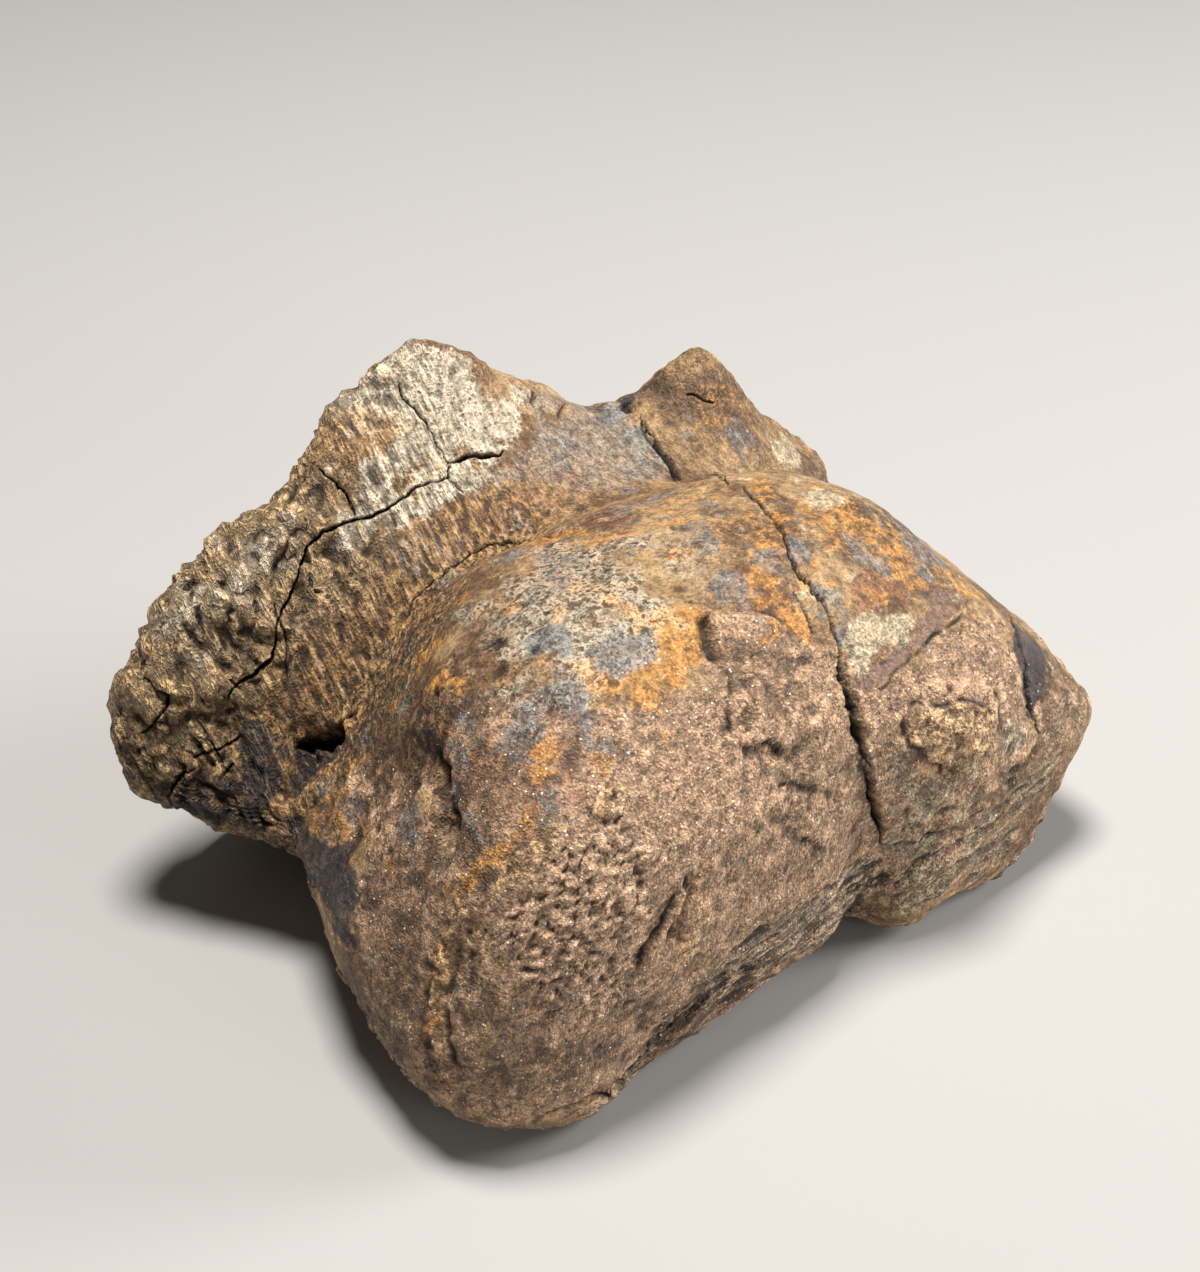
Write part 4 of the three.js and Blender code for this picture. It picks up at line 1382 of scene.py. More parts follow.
@dataclass
class Relief:
    """Raises and sinks the smooth bone into its worn and broken surface, in millimetres."""

    skin: Skin
    normals: Array
    regions: Regions
    grain: Grain
    amounts: dict[Deposit, Array]
    fold_size: float = 2.6
    fold_length: float = 7.5
    fold_bend: float = 2.2
    fold_height: float = 1.25
    small_fold_height: float = 0.46
    lump_height: float = 0.55
    fibre_length: float = 7.0
    fibre_height: float = 0.34
    wart_size: float = 0.9
    wart_height: float = 0.75
    wart_crease: float = 0.4
    wart_base: float = 0.3
    broad_height: float = 0.30
    fine_height: float = 0.09
    rough_height: float = 0.8
    thread_height: float = 0.30
    flake_height: float = 0.55
    pale_height: float = 0.14
    band_depth: float = 0.35
    layer_height: float = 0.75
    least_half: float = 0.16
    foot_reach: float = 0.7
    foot_depth: float = 0.45

    def swellings(self) -> Array:
        """Knobs and hollows of the solid.

        Returns:
            Heights in millimetres: each knob adds its height times exp(-(distance / reach)^2).
        """
        total = np.zeros(len(self.skin.points))
        for at, reach, height in SWELLINGS:
            ratio = np.linalg.norm(self.skin.points + np.array(MIDDLE) - np.array(at), axis=1) / reach
            total += height * np.exp(-ratio ** 2)
        return total

    def crumpled(self) -> Array:
        """Folds of the knobs: rounded swells with narrow clefts between them.

        Returns:
            Heights in millimetres. The clefts run where a noise drawn out along the grain is
            zero, in a bent space, and smaller folds and lumps are added.
        """
        points, grain = self.skin.points, self.grain
        bent = points + self.fold_bend * grain.bend(points, (0.0, 40.0, 80.0), 7.0, 2)
        drawn_out = grain.stretched(bent, BONE_GRAIN, self.fold_size, self.fold_length)
        folds = self.fold_height * (np.minimum(2.2 * np.abs(drawn_out), 1.0) - 0.5)
        small = grain.stretched(bent + 33.0, BONE_GRAIN, 1.5, 5.0)
        lumps = grain.layered(points + 12.0, 7.0, 3)
        return folds + self.small_fold_height * small + self.lump_height * lumps

    def fibrous(self) -> Array:
        """Fine grooves along the bone's grain, from the rim down into the waist.

        Returns:
            Heights in millimetres, from noise drawn out along the grain.
        """
        points, grain = self.skin.points, self.grain
        bent = points + 0.5 * grain.bend(points, (0.0, 30.0, 60.0), 4.0)
        slanting = grain.stretched(bent, BONE_GRAIN, 1.4, self.fibre_length)
        upright = grain.stretched(bent, (-0.1, -0.45, -0.9), 1.3, 9.0)
        share = self.regions.left_waist
        return self.fibre_height * ((1.0 - share) * slanting + 1.3 * share * upright)

    def layered_edge(self) -> Array:
        """Thin layers that run along the lower margin: ridges drawn out from side to side."""
        ripple = self.grain.stretched(self.skin.points, MARGIN_GRAIN, 1.5, 22.0)
        return self.layer_height * (0.5 - np.minimum(np.abs(ripple) * 2.4, 1.0))

    def warts(self) -> Array:
        """Small raised warts, joined in short rows.

        Returns:
            Heights in millimetres: a dome around each scattered centre, and small creases.
        """
        points, grain = self.skin.points, self.grain
        bent = points + 0.6 * grain.bend(points, (0.0, 21.0, 55.0), 2.6)
        distance, chance = grain.cells(bent * np.array([0.75, 1.0, 1.1]), self.wart_size)
        domes = smoothstep(0.85, 0.25, distance) * (0.35 + 0.65 * chance)
        creases = 0.5 - np.minimum(1.6 * np.abs(grain.layered(bent + 5.0, 1.5, 2)), 1.0)
        return self.wart_height * domes + self.wart_crease * creases

    def heights(self) -> Array:
        """Adds up the relief, apart from the marks.

        Returns:
            Heights in millimetres along the outward directions. Each part is how much of its
            deposit or region lies there, times its own height.
        """
        points, grain, amounts = self.skin.points, self.grain, self.amounts
        full = {deposit: np.clip(numbers, 0.0, 1.0) for deposit, numbers in amounts.items()}
        calm = 1.0 - amounts[Deposit.FOLD]
        rim = self.regions.band(11.4, 11.8, 12.5, 13.2)
        sandy = 0.36 * grain.layered(points + 5.0, 6.5, 2) + 0.30 * grain.layered(points, 2.3, 3)
        threads = 0.5 - np.minimum(2.0 * np.abs(grain.layered(points + 3.0, 1.9, 2)), 1.0)
        parts = (
            (calm, self.broad_height * grain.layered(points, 12.0, 3)),
            (1.0, self.fine_height * grain.layered(points + 19.0, 1.8, 2)),
            (amounts[Deposit.FOLD], self.crumpled()),
            (rim, 0.5 * grain.layered(points + 77.0, 4.0, 3) - 0.2),
            (amounts[Deposit.FIBRE], self.fibrous()),
            (full[Deposit.ROUGH], self.rough_height * grain.layered(points + 15.0, 3.0, 3)),
            (amounts[Deposit.CRUST] * calm, sandy),
            (amounts[Deposit.WORM], self.thread_height * threads),
            (full[Deposit.YELLOW], 0.12 + self.flake_height * grain.layered(points, 2.0, 2)),
            (amounts[Deposit.PALE], self.pale_height * grain.layered(points + 9.0, 1.6, 2)),
            (amounts[Deposit.LAMINA], self.layered_edge()),
            (full[Deposit.WART], self.warts() - self.wart_base),
            (full[Deposit.MAUVE], -self.band_depth),
        )
        return self.swellings() + sum(share * height for share, height in parts)

    def carve(self, trace: Trace, height: Array) -> None:
        """Adds one mark to the heights.

        Args:
            trace: The mark on the surface.
            height: Heights in millimetres, changed in place. With d the distance and w the half
                width, a crack sinks by depth (1 - d/w)^0.6, and a groove by depth exp(-(d/w)^2).
                A ridge rises as a groove sinks. An edge rises over its width, falls off over its
                reach, and has a low foot.
        """
        mark = trace.mark
        near = trace.measure(self.skin.points, self.normals, max(3.0, 3.0 * mark.reach))
        ratio = near.distance / np.maximum(near.half, self.least_half)
        fade = smoothstep(0.0, 0.14, near.share) * smoothstep(1.0, 0.86, near.share)
        if mark.kind is MarkKind.CRACK:
            deep = np.clip(1.0 - ratio, 0.0, 1.0) ** 0.6
            change = -deep * np.clip(near.half / (mark.width / 2), 0.4, 1.3)
        elif mark.kind is MarkKind.EDGE:
            across = near.side * near.distance
            rise = smoothstep(-0.5, 0.5, across / mark.width)
            beyond, before = np.maximum(across, 0.0), np.maximum(-across, 0.0)
            falling = np.exp(-beyond / mark.reach - before / self.foot_reach)
            change = (rise - self.foot_depth * (1.0 - rise)) * falling * fade
        else:
            change = np.exp(-ratio ** 2) * fade
            if mark.kind is MarkKind.GROOVE:
                change = -change
        height[near.rows] += mark.depth * change


class NodeDesk:
    """Puts shader nodes into one material and joins them."""

    noise_roughness: float = 0.66

    def __init__(self, material: bpy.types.Material) -> None:
        """Opens the material's nodes and clears them.

        Args:
            material: Material to work on.
        """
        material.use_nodes = True
        self.tree = material.node_tree
        self.tree.nodes.clear()
        self.place = self.node("ShaderNodeTexCoord").outputs["Object"]

    def node(self, kind: str, **settings: object) -> bpy.types.Node:
        """Adds a node.

        Args:
            kind: Blender's name for the kind of node.
            **settings: Settings of the node itself, by name.

        Returns:
            The node.
        """
        node = self.tree.nodes.new(kind)
        for name, value in settings.items():
            setattr(node, name, value)
        return node

    def join(self, value: object, socket: Socket) -> None:
        """Links a socket, or sets a plain value.

        Args:
            value: Socket to link, or value to set.
            socket: Input that gets it.
        """
        if isinstance(value, Socket):
            self.tree.links.new(value, socket)
        else:
            socket.default_value = value

    def noise(self, size: float, detail: float, shift: float = 0.0,
              place: Socket | None = None, bent: float = 0.0,
              single: bool = False) -> list[Socket]:
        """Procedural noises with lumps of one size.

        Args:
            size: Size of the lumps in millimetres.
            detail: Number of finer layers.
            shift: Moves the pattern, in lump sizes.
            place: Place to read, or the object's own coordinates.
            bent: How far the pattern is bent by itself.
            single: Whether one noise is enough, which renders sooner than three.

        Returns:
            One or three sockets with different numbers around 0.5.
        """
        mapping = self.node("ShaderNodeMapping")
        self.join(place or self.place, mapping.inputs["Vector"])
        scale = 1.0 / (size * MM)
        mapping.inputs["Scale"].default_value = (scale, scale, scale)
        mapping.inputs["Location"].default_value = (shift, shift * 0.7, shift * 1.3)
        node = self.node("ShaderNodeTexNoise")
        self.join(mapping.outputs["Vector"], node.inputs["Vector"])
        node.inputs["Scale"].default_value = 1.0
        node.inputs["Detail"].default_value = detail
        node.inputs["Roughness"].default_value = self.noise_roughness
        node.inputs["Distortion"].default_value = bent
        if single:
            return [node.outputs[0]]
        split = self.node("ShaderNodeSeparateColor")
        self.join(node.outputs["Color"], split.inputs[0])
        return list(split.outputs)

    def drawn_out(self, along: Point, shrink: float) -> Socket:
        """Object coordinates shrunk along one direction, so that a noise is drawn out along it.

        Args:
            along: The direction.
            shrink: Share of the length that is taken away.

        Returns:
            Socket with the coordinates: each place less its part along the direction.
        """
        direction = Vector(along).normalized()
        dot = self.node("ShaderNodeVectorMath", operation="DOT_PRODUCT")
        self.join(self.place, dot.inputs[0])
        dot.inputs[1].default_value = direction
        part = self.node("ShaderNodeVectorMath", operation="SCALE")
        part.inputs[0].default_value = direction * shrink
        self.join(dot.outputs["Value"], part.inputs["Scale"])
        rest = self.node("ShaderNodeVectorMath", operation="SUBTRACT")
        self.join(self.place, rest.inputs[0])
        self.join(part.outputs[0], rest.inputs[1])
        return rest.outputs[0]

    def grains(self, size: float) -> tuple[Socket, Socket]:
        """Scattered cells of a given size.

        Args:
            size: Size of a cell in millimetres.

        Returns:
            Distance to the cell's centre, and the cell's chance number from 0 to 1.
        """
        node = self.node("ShaderNodeTexVoronoi")
        self.join(self.place, node.inputs["Vector"])
        node.inputs["Scale"].default_value = 1.0 / (size * MM)
        split = self.node("ShaderNodeSeparateColor")
        self.join(node.outputs["Color"], split.inputs[0])
        return node.outputs["Distance"], split.outputs[0]

    def amount(self, name: str) -> Socket:
        """Reads one of the mesh's attributes."""
        return self.node("ShaderNodeAttribute", attribute_name=name).outputs["Fac"]

    def sum(self, kind: str, first: object, second: object) -> Socket:
        """Works out a sum, product or other two-number result.

        Args:
            kind: Blender's name for the operation.
            first: First number or socket.
            second: Second number or socket.

        Returns:
            Socket with the result.
        """
        node = self.node("ShaderNodeMath", operation=kind)
        self.join(first, node.inputs[0])
        self.join(second, node.inputs[1])
        return node.outputs[0]

    def plus(self, first: object, second: object) -> Socket:
        """The first number or socket and the second, added up."""
        return self.sum("ADD", first, second)

    def less(self, first: object, second: object) -> Socket:
        """The first number or socket less the second."""
        return self.sum("SUBTRACT", first, second)

    def times(self, first: object, second: object) -> Socket:
        """The first number or socket times the second."""
        return self.sum("MULTIPLY", first, second)

    def between(self, value: Socket, low: float, high: float,
                to_low: float = 0.0, to_high: float = 1.0) -> Socket:
        """Eases a number from one range to another.

        Args:
            value: Number to ease.
            low: Value that gives to_low.
            high: Value that gives to_high.
            to_low: Result at low.
            to_high: Result at high.

        Returns:
            Socket with the eased number.
        """
        node = self.node("ShaderNodeMapRange", interpolation_type="SMOOTHSTEP", clamp=True)
        for number, entry in enumerate((value, low, high, to_low, to_high)):
            self.join(entry, node.inputs[number])
        return node.outputs[0]

    def mix(self, share: object, first: object, second: object, blend: str = "MIX") -> Socket:
        """Mixes two colours.

        Args:
            share: How much of the second is taken.
            first: First colour.
            second: Second colour.
            blend: Blender's name for the way of mixing.

        Returns:
            Socket with the mixed colour.
        """
        node = self.node("ShaderNodeMix", data_type="RGBA", blend_type=blend)
        self.join(share, node.inputs[0])
        self.join(first, node.inputs[6])
        self.join(second, node.inputs[7])
        return node.outputs[2]


def colour(code: str) -> tuple[float, float, float, float]:
    """Linear colour of a screen colour code.

    Args:
        code: Six hexadecimal digits.

    Returns:
        Red, green, blue and opacity. Each part is ((s + 0.055) / 1.055) ^ 2.4, or s / 12.92 if dark.
    """
    parts = [int(code[start:start + 2], 16) / 255.0 for start in (0, 2, 4)]
    linear = [part / 12.92 if part <= 0.04045 else ((part + 0.055) / 1.055) ** 2.4 for part in parts]
    return (*linear, 1.0)


@dataclass(frozen=True)
class Coat:
    """Look of one deposit: two tones, how ragged its edge is, and how glossy it is."""

    deposit: Deposit
    light: str
    dark: str
    ragged: float
    roughness: float
    cover: float = 1.0


COATS = (
    Coat(Deposit.FIBRE, "b58c59", "5f4225", 0.6, 0.44, 0.85),
    Coat(Deposit.FOLD, "d6b585", "5f462e", 0.6, 0.46, 0.9),
    Coat(Deposit.LAVENDER, "a89886", "786453", 1.2, 0.34, 0.85),
    Coat(Deposit.PALE, "d8ccb6", "b19e82", 1.2, 0.40, 0.9),
    Coat(Deposit.CRUST, "cea987", "8d6f56", 0.8, 0.80, 1.0),
    Coat(Deposit.LAMINA, "d0b594", "57463a", 1.0, 0.7, 0.8),
    Coat(Deposit.WART, "e6c09e", "af8e72", 1.0, 0.75, 0.7),
    Coat(Deposit.WORM, "a5967f", "5f5446", 1.2, 0.5, 0.8),
    Coat(Deposit.RUST, "8e5232", "5b3826", 1.3, 0.6, 0.65),
    # Umber: real brown stains, and also painted shade under the knobs, in the deep pits and on the lower
    # front and margin.
    Coat(Deposit.UMBER, "6b4c2e", "33241a", 1.2, 0.55, 0.8),
    Coat(Deposit.OCHRE, "dc9f50", "8a5a2a", 1.3, 0.46, 0.85),
    Coat(Deposit.BLUE, "8a8d8c", "494c4e", 1.7, 0.5, 0.74),
    Coat(Deposit.YELLOW, "dbb586", "8c6c4b", 1.4, 0.7, 0.85),
    Coat(Deposit.MAUVE, "8f7261", "725848", 0.5, 0.7, 1.0),
    Coat(Deposit.CREAM, "cdbc9f", "97815f", 1.0, 0.6, 0.9),
    # Blue-black: real stains, and also painted shade under the knobs, in the waist hollow and in the corner
    # split.
    Coat(Deposit.BLACK, "43393a", "1b1b1e", 1.1, 0.42, 0.9),
)


@dataclass(frozen=True)
class FossilBone:
    """Finish of the whole bone: brown fossil bone with crust, stains and cracks, with painted shade in
    its grooves, hollows and cracks and painted highlights on its ridges and sand grains.
    """

    name: str = "fossil_bone"
    light: str = "ad8d64"
    dark: str = "6b4d31"
    # Painted shade: the tone in fibre grooves and in hollows.
    painted_shade: str = "281c13"
    # Painted shade inside cracks and along the feet of ledges.
    crack: str = "0e0a08"
    pale: str = "d6c9b2"
    # Painted highlight on the backs of the fibres.
    worn: str = "dccbaa"
    # Painted highlight: glints on sand grains.
    painted_glint: str = "f0e0ca"
    speck: str = "3a2a20"
    shine: float = 0.45
    refraction: float = 1.5

    def material(self) -> bpy.types.Material:
        """Makes the material.

        Returns:
            The finished procedural material. Its colour is built up from the bone outwards, and
            the small relief is a bump in millimetres.
        """
        material = bpy.data.materials.new(self.name)
        desk = NodeDesk(material)
        paint = BonePaint(self, desk)
        shade, rough = paint.coated()
        # Pale threads, then painted shade and highlights along the fibres, then sand with painted glints.
        shade = paint.sprinkled(paint.fibre_shade_and_highlight(paint.threaded(shade)))
        height = paint.small_relief()
        # Painted shade and light from the small relief and the hollows.
        shade = paint.painted_relief_shade(shade, height)
        bump = desk.node("ShaderNodeBump")
        bump.inputs["Strength"].default_value = 1.0
        bump.inputs["Distance"].default_value = MM
        desk.join(height, bump.inputs["Height"])
        surface = desk.node("ShaderNodeBsdfPrincipled")
        surface.inputs["Specular IOR Level"].default_value = self.shine
        surface.inputs["IOR"].default_value = self.refraction
        desk.join(shade, surface.inputs["Base Color"])
        desk.join(rough, surface.inputs["Roughness"])
        desk.join(bump.outputs["Normal"], surface.inputs["Normal"])
        output = desk.node("ShaderNodeOutputMaterial")
        desk.join(surface.outputs["BSDF"], output.inputs["Surface"])
        return material


class BonePaint:
    """Works out the bone's colour and small relief, from noises that its steps share."""

    middle_size: float = 1.2
    fine_size: float = 0.36
    stripe_size: float = 0.55
    wrinkle_size: float = 1.3
    broken_size: float = 2.8
    layer_size: float = 0.8
    sand_size: float = 0.36
    pore_size: float = 0.85
    middle_weight: float = 1.3
    mean_fray: float = 1.15
    shows_from: float = 0.25
    covers_from: float = 0.85
    # Painted shade in the fibre grooves, and painted highlight on the fibre backs.
    fibre_groove_shade: float = 0.62
    fibre_back_highlight: float = 0.36
    thread_white: float = 0.52
    # Painted highlight: how much of the glint tone the sand grains get.
    painted_glint_share: float = 0.8
    speck_share: float = 0.6
    # Painted shade: the most of the shade tone that the deepest hollows get.
    most_hollow_shade: float = 0.82
    dark_to: float = 0.72
    light_from: float = 1.28

    def __init__(self, finish: FossilBone, desk: NodeDesk) -> None:
        """Reads the deposits and adds the noises, whose sizes are in millimetres.

        Args:
            finish: Tones of the bone.
            desk: Nodes of the material.
        """
        self.finish = finish
        self.desk = desk
        self.amount = {deposit: desk.amount(deposit.value) for deposit in Deposit}
        # Concavity, read for painted shade in hollows and painted light on ridges.
        self.hollow = desk.amount("hollow")
        self.middle = desk.noise(self.middle_size, 4.0, 8.0)
        self.fine = desk.noise(self.fine_size, 3.0, 11.0)
        fibres, folds = desk.drawn_out(BONE_GRAIN, 0.86), desk.drawn_out(BONE_GRAIN, 0.66)
        layers = desk.drawn_out(MARGIN_GRAIN, 0.9)
        self.stripes = desk.noise(self.stripe_size, 3.0, 5.0, fibres, single=True)[0]
        self.wrinkles = desk.noise(self.wrinkle_size, 3.0, 3.0, folds, 0.7)
        self.broken = desk.noise(self.broken_size, 5.0, 6.0, single=True)[0]
        self.strata = desk.noise(self.layer_size, 3.0, 9.0, layers, single=True)[0]
        self.sand, self.sand_chance = desk.grains(self.sand_size)

    def tinted(self, share: object, shade: Socket, tone: str) -> Socket:
        """Mixes one of the finish's tones into a colour."""
        return self.desk.mix(share, shade, colour(tone))

    def creased(self, noise: Socket) -> Socket:
        """Folds a noise at one half, its middle, so that it gets narrow creases."""
        return self.desk.sum("ABSOLUTE", self.desk.less(noise, 0.5), 0.0)

    def coat(self, coat: Coat, shade: Socket, rough: Socket) -> tuple[Socket, Socket]:
        """Lays one deposit over what lies below.

        Args:
            coat: Look of the deposit.
            shade: Colour below.
            rough: Roughness below.

        Returns:
            Colour and roughness with the deposit on top. It shows where its amount, plus noise
            that frays its edge, passes about one half.
        """
        desk, middle, fine = self.desk, self.middle, self.fine
        turn = COATS.index(coat)
        fray = desk.plus(desk.times(middle[turn % 3], self.middle_weight), fine[(turn + 1) % 3])
        fray = desk.times(desk.less(fray, self.mean_fray), coat.ragged)
        level = desk.plus(self.amount[coat.deposit], fray)
        share = desk.between(level, self.shows_from, self.covers_from, 0.0, coat.cover)
        tones = desk.plus(middle[(turn + 1) % 3], fine[(turn + 2) % 3])
        lightness = desk.between(tones, self.dark_to, self.light_from)
        own = desk.mix(lightness, colour(coat.dark), colour(coat.light))
        mixed = desk.node("ShaderNodeMix", data_type="FLOAT")
        desk.join(share, mixed.inputs[0])
        desk.join(rough, mixed.inputs[2])
        desk.join(coat.roughness, mixed.inputs[3])
        return desk.mix(share, shade, own), mixed.outputs[0]

    def coated(self) -> tuple[Socket, Socket]:
        """Mottles the bare bone and lays every deposit on it, in the order of the coats.

        Returns:
            Colour and roughness of the covered bone.
        """
        desk = self.desk
        mottled = desk.less(desk.plus(self.middle[0], self.fine[2]), 1.0)
        tone = desk.plus(desk.amount("broad"), mottled)
        finish = self.finish
        shade = desk.mix(desk.between(tone, 0.2, 0.8), colour(finish.dark), colour(finish.light))
        rough = desk.between(self.fine[0], 0.3, 0.7, 0.46, 0.62)
        for coat in COATS:
            shade, rough = self.coat(coat, shade, rough)
        return shade, rough

    def threaded(self, shade: Socket) -> Socket:
        """Adds the lattice of pale threads on the top of the rolling end.

        Args:
            shade: Colour so far.

        Returns:
            The colour with threads where a noise is near its middle, weaker on blue ground.
        """
        desk = self.desk
        net = desk.between(self.creased(self.middle[2]), 0.075, 0.01)
        pale = desk.between(self.amount[Deposit.WORM], 0.1, 1.0, 0.0, self.thread_white)
        bluish = desk.between(self.amount[Deposit.BLUE], 0.2, 0.9, 1.0, 0.3)
        return self.tinted(desk.times(desk.times(net, pale), bluish), shade, self.finish.pale)

    def fibre_shade_and_highlight(self, shade: Socket) -> Socket:
        """Paints shade into the grooves between fibres and painted highlights onto their backs.

        Args:
            shade: Colour so far.

        Returns:
            The colour with painted shade in the fibre grooves and painted highlights on their backs.
        """
        desk, fibres = self.desk, self.amount[Deposit.FIBRE]
        dark = desk.times(desk.between(self.stripes, 0.56, 0.36, 0.0, self.fibre_groove_shade), fibres)
        light = desk.times(desk.between(self.stripes, 0.56, 0.70, 0.0, self.fibre_back_highlight), fibres)
        shade = self.tinted(dark, shade, self.finish.painted_shade)
        return self.tinted(light, shade, self.finish.worn)

    def sprinkled(self, shade: Socket) -> Socket:
        """Adds painted glints, pale highlight specks on a few sand grains, to the crust and the ochre, and
        dark grains to the crust.

        Args:
            shade: Colour so far.

        Returns:
            The sprinkled colour.
        """
        desk = self.desk
        sandy = desk.between(self.amount[Deposit.CRUST], 0.3, 0.8)
        stained = desk.between(self.amount[Deposit.OCHRE], 0.5, 0.9)
        inside = desk.between(self.sand, 0.45, 0.25)
        # Painted highlight: glints on a few sand grains.
        painted_glint_cells = desk.times(desk.between(self.sand_chance, 0.955, 0.965), inside)
        shown = desk.times(painted_glint_cells, desk.sum("MAXIMUM", sandy, stained))
        shade = self.tinted(desk.times(shown, self.painted_glint_share), shade, self.finish.painted_glint)
        dark_share = desk.times(sandy, self.speck_share)
        darker = desk.times(desk.between(self.sand_chance, 0.14, 0.08), dark_share)
        return self.tinted(darker, shade, self.finish.speck)

    def small_relief(self) -> Socket:
        """Heights too fine for the mesh, in millimetres above and below the mesh.

        Returns:
            Socket with the height. Each part is a noise less its middle, times its height and the
            amount of its deposit.
        """
        desk, amount = self.desk, self.amount
        pore, pore_chance = desk.grains(self.pore_size)
        pores = desk.times(desk.between(pore, 0.36, 0.12), desk.between(pore_chance, 0.35, 0.5))
        parts = (
            (self.fine[1], 0.5, 0.42, 1.0),
            (self.middle[1], 0.5, 0.60, 1.0),
            (desk.between(self.sand, 0.6, 0.1), 0.5, 0.11, amount[Deposit.CRUST]),
            (self.stripes, 0.5, 0.85, amount[Deposit.FIBRE]),
            (self.creased(self.wrinkles[0]), 0.09, 2.6, amount[Deposit.FOLD]),
            (self.wrinkles[1], 0.5, 0.75, amount[Deposit.FOLD]),
            (self.creased(self.middle[2]), 0.08, -1.2, amount[Deposit.WORM]),
            (self.broken, 0.5, 2.6, amount[Deposit.ROUGH]),
            (self.strata, 0.5, 2.1, amount[Deposit.LAMINA]),
            (pores, 0.1, -0.20, amount[Deposit.PALE]),
            (self.middle[2], 0.5, 0.8, amount[Deposit.YELLOW]),
        )
        total: object = 0.0
        for noise, mean, height, share in parts:
            part = desk.times(desk.less(noise, mean), height)
            total = desk.plus(total, desk.times(part, share))
        return total

    def painted_relief_shade(self, shade: Socket, height: Socket) -> Socket:
        """Paints shade into low ground, hollows and cracks, and painted light onto crests and ridges.

        Args:
            shade: Colour so far.
            height: Small relief in millimetres.

        Returns:
            The finished colour.
        """
        desk = self.desk
        # Painted shade in low small relief and painted light on its crests, with more painted light on
        # ridges.
        relief_shade = desk.between(height, -0.14, 0.14, 0.50, 1.38)
        relief_shade = desk.times(relief_shade, desk.between(self.hollow, 0.0, -0.5, 1.0, 1.22))
        grey = desk.node("ShaderNodeCombineColor")
        for socket in grey.inputs[:3]:
            desk.join(relief_shade, socket)
        shade = desk.mix(1.0, shade, grey.outputs[0], "MULTIPLY")
        # Painted shade in the hollows.
        hollow_shade = desk.between(self.hollow, 0.03, 0.55, 0.0, self.most_hollow_shade)
        shade = self.tinted(hollow_shade, shade, self.finish.painted_shade)
        # Painted shade in cracks and painted shadow along the feet of ledges.
        return self.tinted(self.amount[Deposit.CRACK], shade, self.finish.crack)


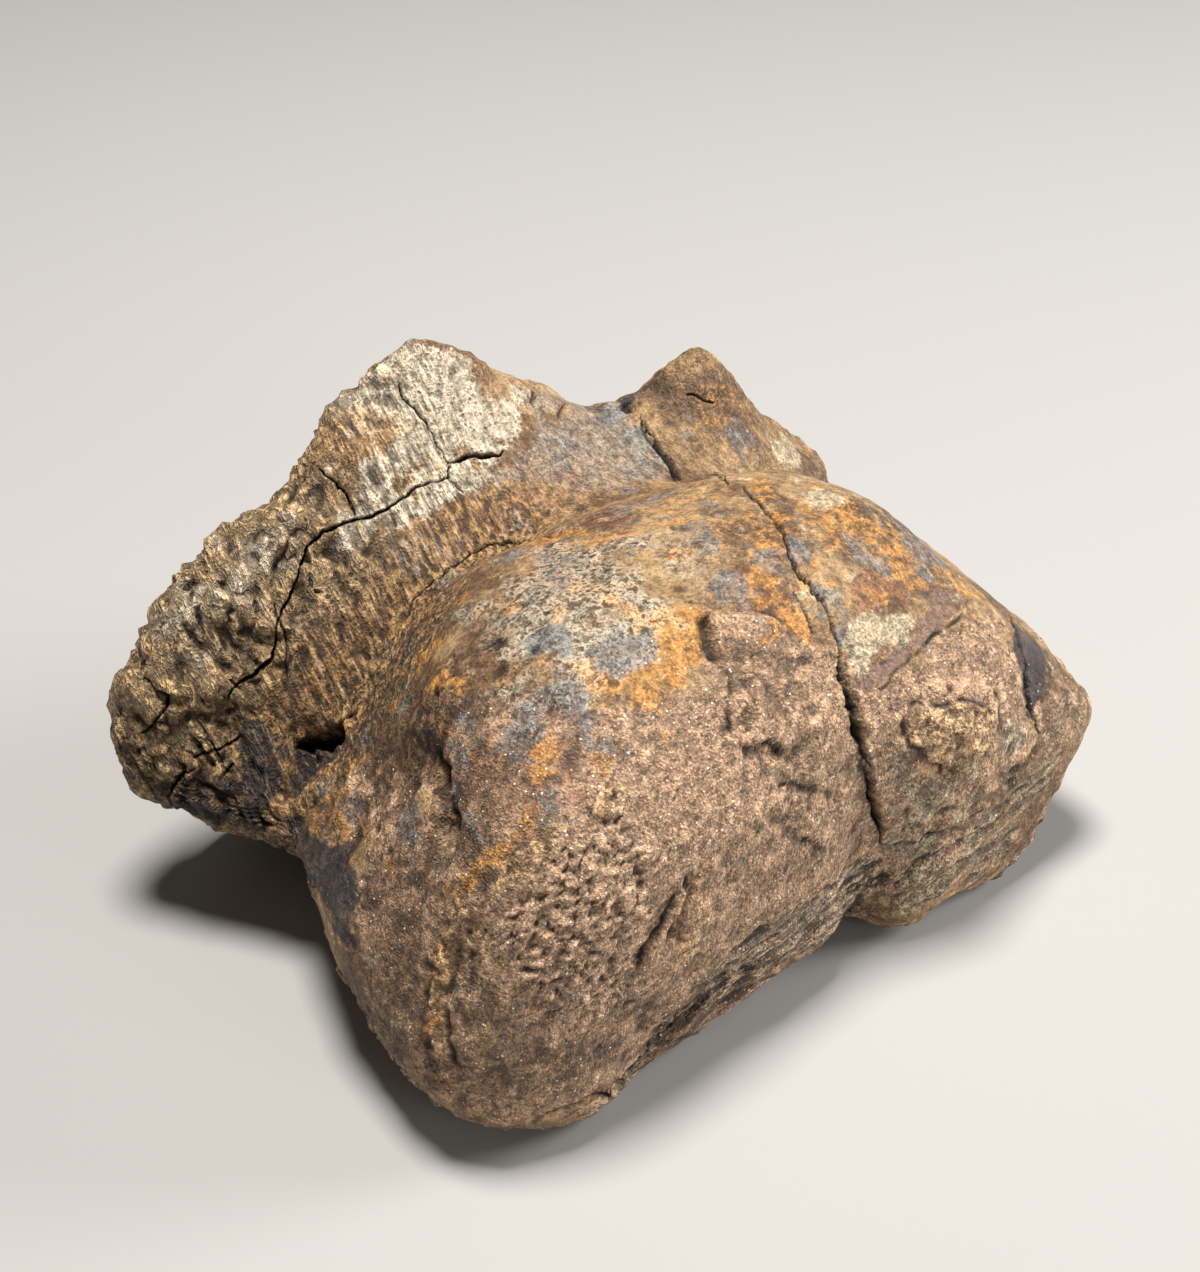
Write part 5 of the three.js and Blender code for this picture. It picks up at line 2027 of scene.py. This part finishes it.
@dataclass
class ToeBone:
    """The whole fossil: one closed piece that stands for the solid of the same name."""

    lines: ShapeLines = field(default_factory=ShapeLines)
    finish: FossilBone = field(default_factory=FossilBone)
    grain: Grain = field(default_factory=Grain)
    node: str = "toe_bone"
    # Weights of the concavity that feeds painted shade in hollows and painted light on ridges.
    hollow_weights: tuple[tuple[int, float], ...] = ((3, 1.7), (14, 0.36))
    hollow_lost_on_folds: float = 0.3
    most_of_a_deposit: float = 1.4
    near_marks: float = 1.1
    near_cracks: float = 0.55
    finer_patches: tuple[str, ...] = ("warty skin", "yellow flake")

    def refined(self) -> tuple[Skin, list[Trace]]:
        """Lays the skin through the lines, and makes it finer near marks and small detail.

        Returns:
            The fine smooth skin, and the marks laid onto it.
        """
        skin = self.lines.skin()
        chart = Chart(skin, self.grain)
        cracks = [chart.trace(mark) for mark in CRACKS]
        ledges = [chart.trace(mark) for mark in LEDGES]
        detailed = [patch for patch in PATCHES if patch.name in self.finer_patches]
        rounds = ((self.near_marks, cracks + ledges, detailed), (self.near_cracks, cracks, []))
        for reach, traces, patches in rounds:
            close = np.zeros(len(skin.points), dtype=bool)
            normals = skin.normals()
            for trace in traces:
                close[trace.measure(skin.points, normals, reach).rows] = True
            pixels = VIEW.pixels(skin.points)[0]
            shown = VIEW.seen(skin.points, normals) > 0.3
            for patch in patches:
                close |= shown & (patch.inside(pixels, np.zeros(len(pixels))) > 0.4)
            skin = skin.split_near(close)
        return skin, ledges + cracks

    def mesh_of(self, points: Array, triangles: Array, values: dict[str, Array]) -> bpy.types.Object:
        """Makes the Blender object.

        Args:
            points: Places in millimetres.
            triangles: Corner numbers.
            values: Attributes of one number to a point.

        Returns:
            The object, at the origin with its place in its mesh.
        """
        mesh = bpy.data.meshes.new(self.node + "_skin")
        mesh.vertices.add(len(points))
        mesh.vertices.foreach_set("co", (points * MM).astype(np.float32).ravel())
        mesh.loops.add(triangles.size)
        mesh.loops.foreach_set("vertex_index", triangles.astype(np.int32).ravel())
        mesh.polygons.add(len(triangles))
        mesh.polygons.foreach_set("loop_start", np.arange(0, triangles.size, 3, dtype=np.int32))
        mesh.update(calc_edges=True)
        mesh.validate()
        mesh.shade_smooth()
        for name, numbers in values.items():
            layer = mesh.attributes.new(name, "FLOAT", "POINT")
            layer.data.foreach_set("value", numbers.astype(np.float32))
        piece = bpy.data.objects.new(self.node + "_fossil", mesh)
        bpy.context.scene.collection.objects.link(piece)
        return piece

    def build(self) -> bpy.types.Object:
        """Builds the bone's mesh with its relief and its deposits.

        Returns:
            The bone as one object without a material.
        """
        skin, traces = self.refined()
        normals = skin.normals()
        regions = Regions(skin)
        amounts = Deposits(skin, normals, regions, self.grain).amounts(traces)
        relief = Relief(skin, normals, regions, self.grain, amounts)
        height = relief.heights()
        for trace in traces:
            relief.carve(trace, height)
        points = skin.points + normals * height[:, None]
        points[:, 2] = np.maximum(points[:, 2], 0.0)
        worn = Skin(points, skin.triangles, skin.places)
        outward = worn.normals()
        # Concavity of the worn surface, which the material turns into painted shade in hollows and painted
        # light on ridges.
        hollow = np.zeros(len(points))
        for passes, weight in self.hollow_weights:
            hollow += weight * ((worn.evened(points, passes) - points) * outward).sum(axis=1)
        values = {deposit.value: np.clip(numbers, 0.0, self.most_of_a_deposit)
                  for deposit, numbers in amounts.items()}
        values["hollow"] = hollow * (1.0 - self.hollow_lost_on_folds * amounts[Deposit.FOLD])
        values["broad"] = 0.5 + 0.42 * self.grain.layered(skin.points + 200.0, 11.0, 4)
        LOG.info("bone has %d triangles", len(skin.triangles))
        return self.mesh_of(points, skin.triangles, values)

    def dress(self, piece: bpy.types.Object) -> None:
        """Gives the bone its finish and ties it to the frame.

        Args:
            piece: The bone's object.
        """
        piece.data.materials.append(self.finish.material())
        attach(piece, "root")
        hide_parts(self.node)


@dataclass(frozen=True)
class Softbox:
    """One large soft light. The lengths are in metres, and the power is in watts."""

    name: str
    at: Point
    size: float
    power: float
    tint: Colour = (1.0, 1.0, 1.0)

    def add(self) -> None:
        """Adds the light, turned towards the bone."""
        data = bpy.data.lights.new(self.name, "AREA")
        data.shape = "DISK"
        data.size = self.size
        data.energy = self.power
        data.color = self.tint
        light = bpy.data.objects.new(self.name, data)
        middle_of_bone = Vector((0.0, 0.0, 0.03))
        turn = (middle_of_bone - Vector(self.at)).to_track_quat("-Z", "Y")
        light.matrix_world = Matrix.Translation(self.at) @ turn.to_matrix().to_4x4()
        bpy.context.scene.collection.objects.link(light)


@dataclass(frozen=True)
class Studio:
    """Pale floor, soft lights and plain surroundings."""

    floor_size: float = 6.0
    floor_tone: str = "a9a7a4"
    floor_roughness: float = 0.9
    sky: float = 0.08
    lights: tuple[Softbox, ...] = (
        Softbox("overhead_light", (-0.03, 0.02, 0.66), 0.20, 6.8, (1.0, 0.975, 0.94)),
        Softbox("side_light", (0.60, -0.32, 0.34), 0.34, 5.0),
        Softbox("front_light", (0.12, -0.72, 0.22), 0.34, 1.7),
    )

    def floor(self) -> bpy.types.Object:
        """Makes the floor as one flat square at the bone's resting level.

        Returns:
            The floor's object, marked as stage.
        """
        half = self.floor_size / 2
        corners = [(-half, -half, 0.0), (half, -half, 0.0), (half, half, 0.0), (-half, half, 0.0)]
        mesh = bpy.data.meshes.new("studio_floor")
        mesh.from_pydata(corners, [], [(0, 1, 2, 3)])
        material = bpy.data.materials.new("studio_floor")
        desk = NodeDesk(material)
        surface = desk.node("ShaderNodeBsdfPrincipled")
        surface.inputs["Base Color"].default_value = colour(self.floor_tone)
        surface.inputs["Roughness"].default_value = self.floor_roughness
        output = desk.node("ShaderNodeOutputMaterial")
        desk.join(surface.outputs["BSDF"], output.inputs["Surface"])
        mesh.materials.append(material)
        floor = bpy.data.objects.new("studio_floor", mesh)
        bpy.context.scene.collection.objects.link(floor)
        return floor

    def set_up(self) -> None:
        """Adds the camera, the floor, the lights and the surroundings."""
        VIEW.add_camera()
        self.floor()
        for light in self.lights:
            light.add()
        world = bpy.data.worlds.new("studio_world")
        world.use_nodes = True
        background = world.node_tree.nodes["Background"]
        background.inputs["Color"].default_value = (1.0, 1.0, 1.0, 1.0)
        background.inputs["Strength"].default_value = self.sky
        scene = bpy.context.scene
        scene.world = world
        scene.view_settings.view_transform = "Standard"


def main() -> None:
    """Builds the studio and the bone."""
    logging.basicConfig(level=logging.INFO, format="%(name)s: %(message)s")
    Studio().set_up()
    LOG.info("studio is ready")
    bone = ToeBone()
    piece = bone.build()
    bone.dress(piece)
    LOG.info("piece %s is ready", piece.name)


if __name__ == "__main__":
    main()
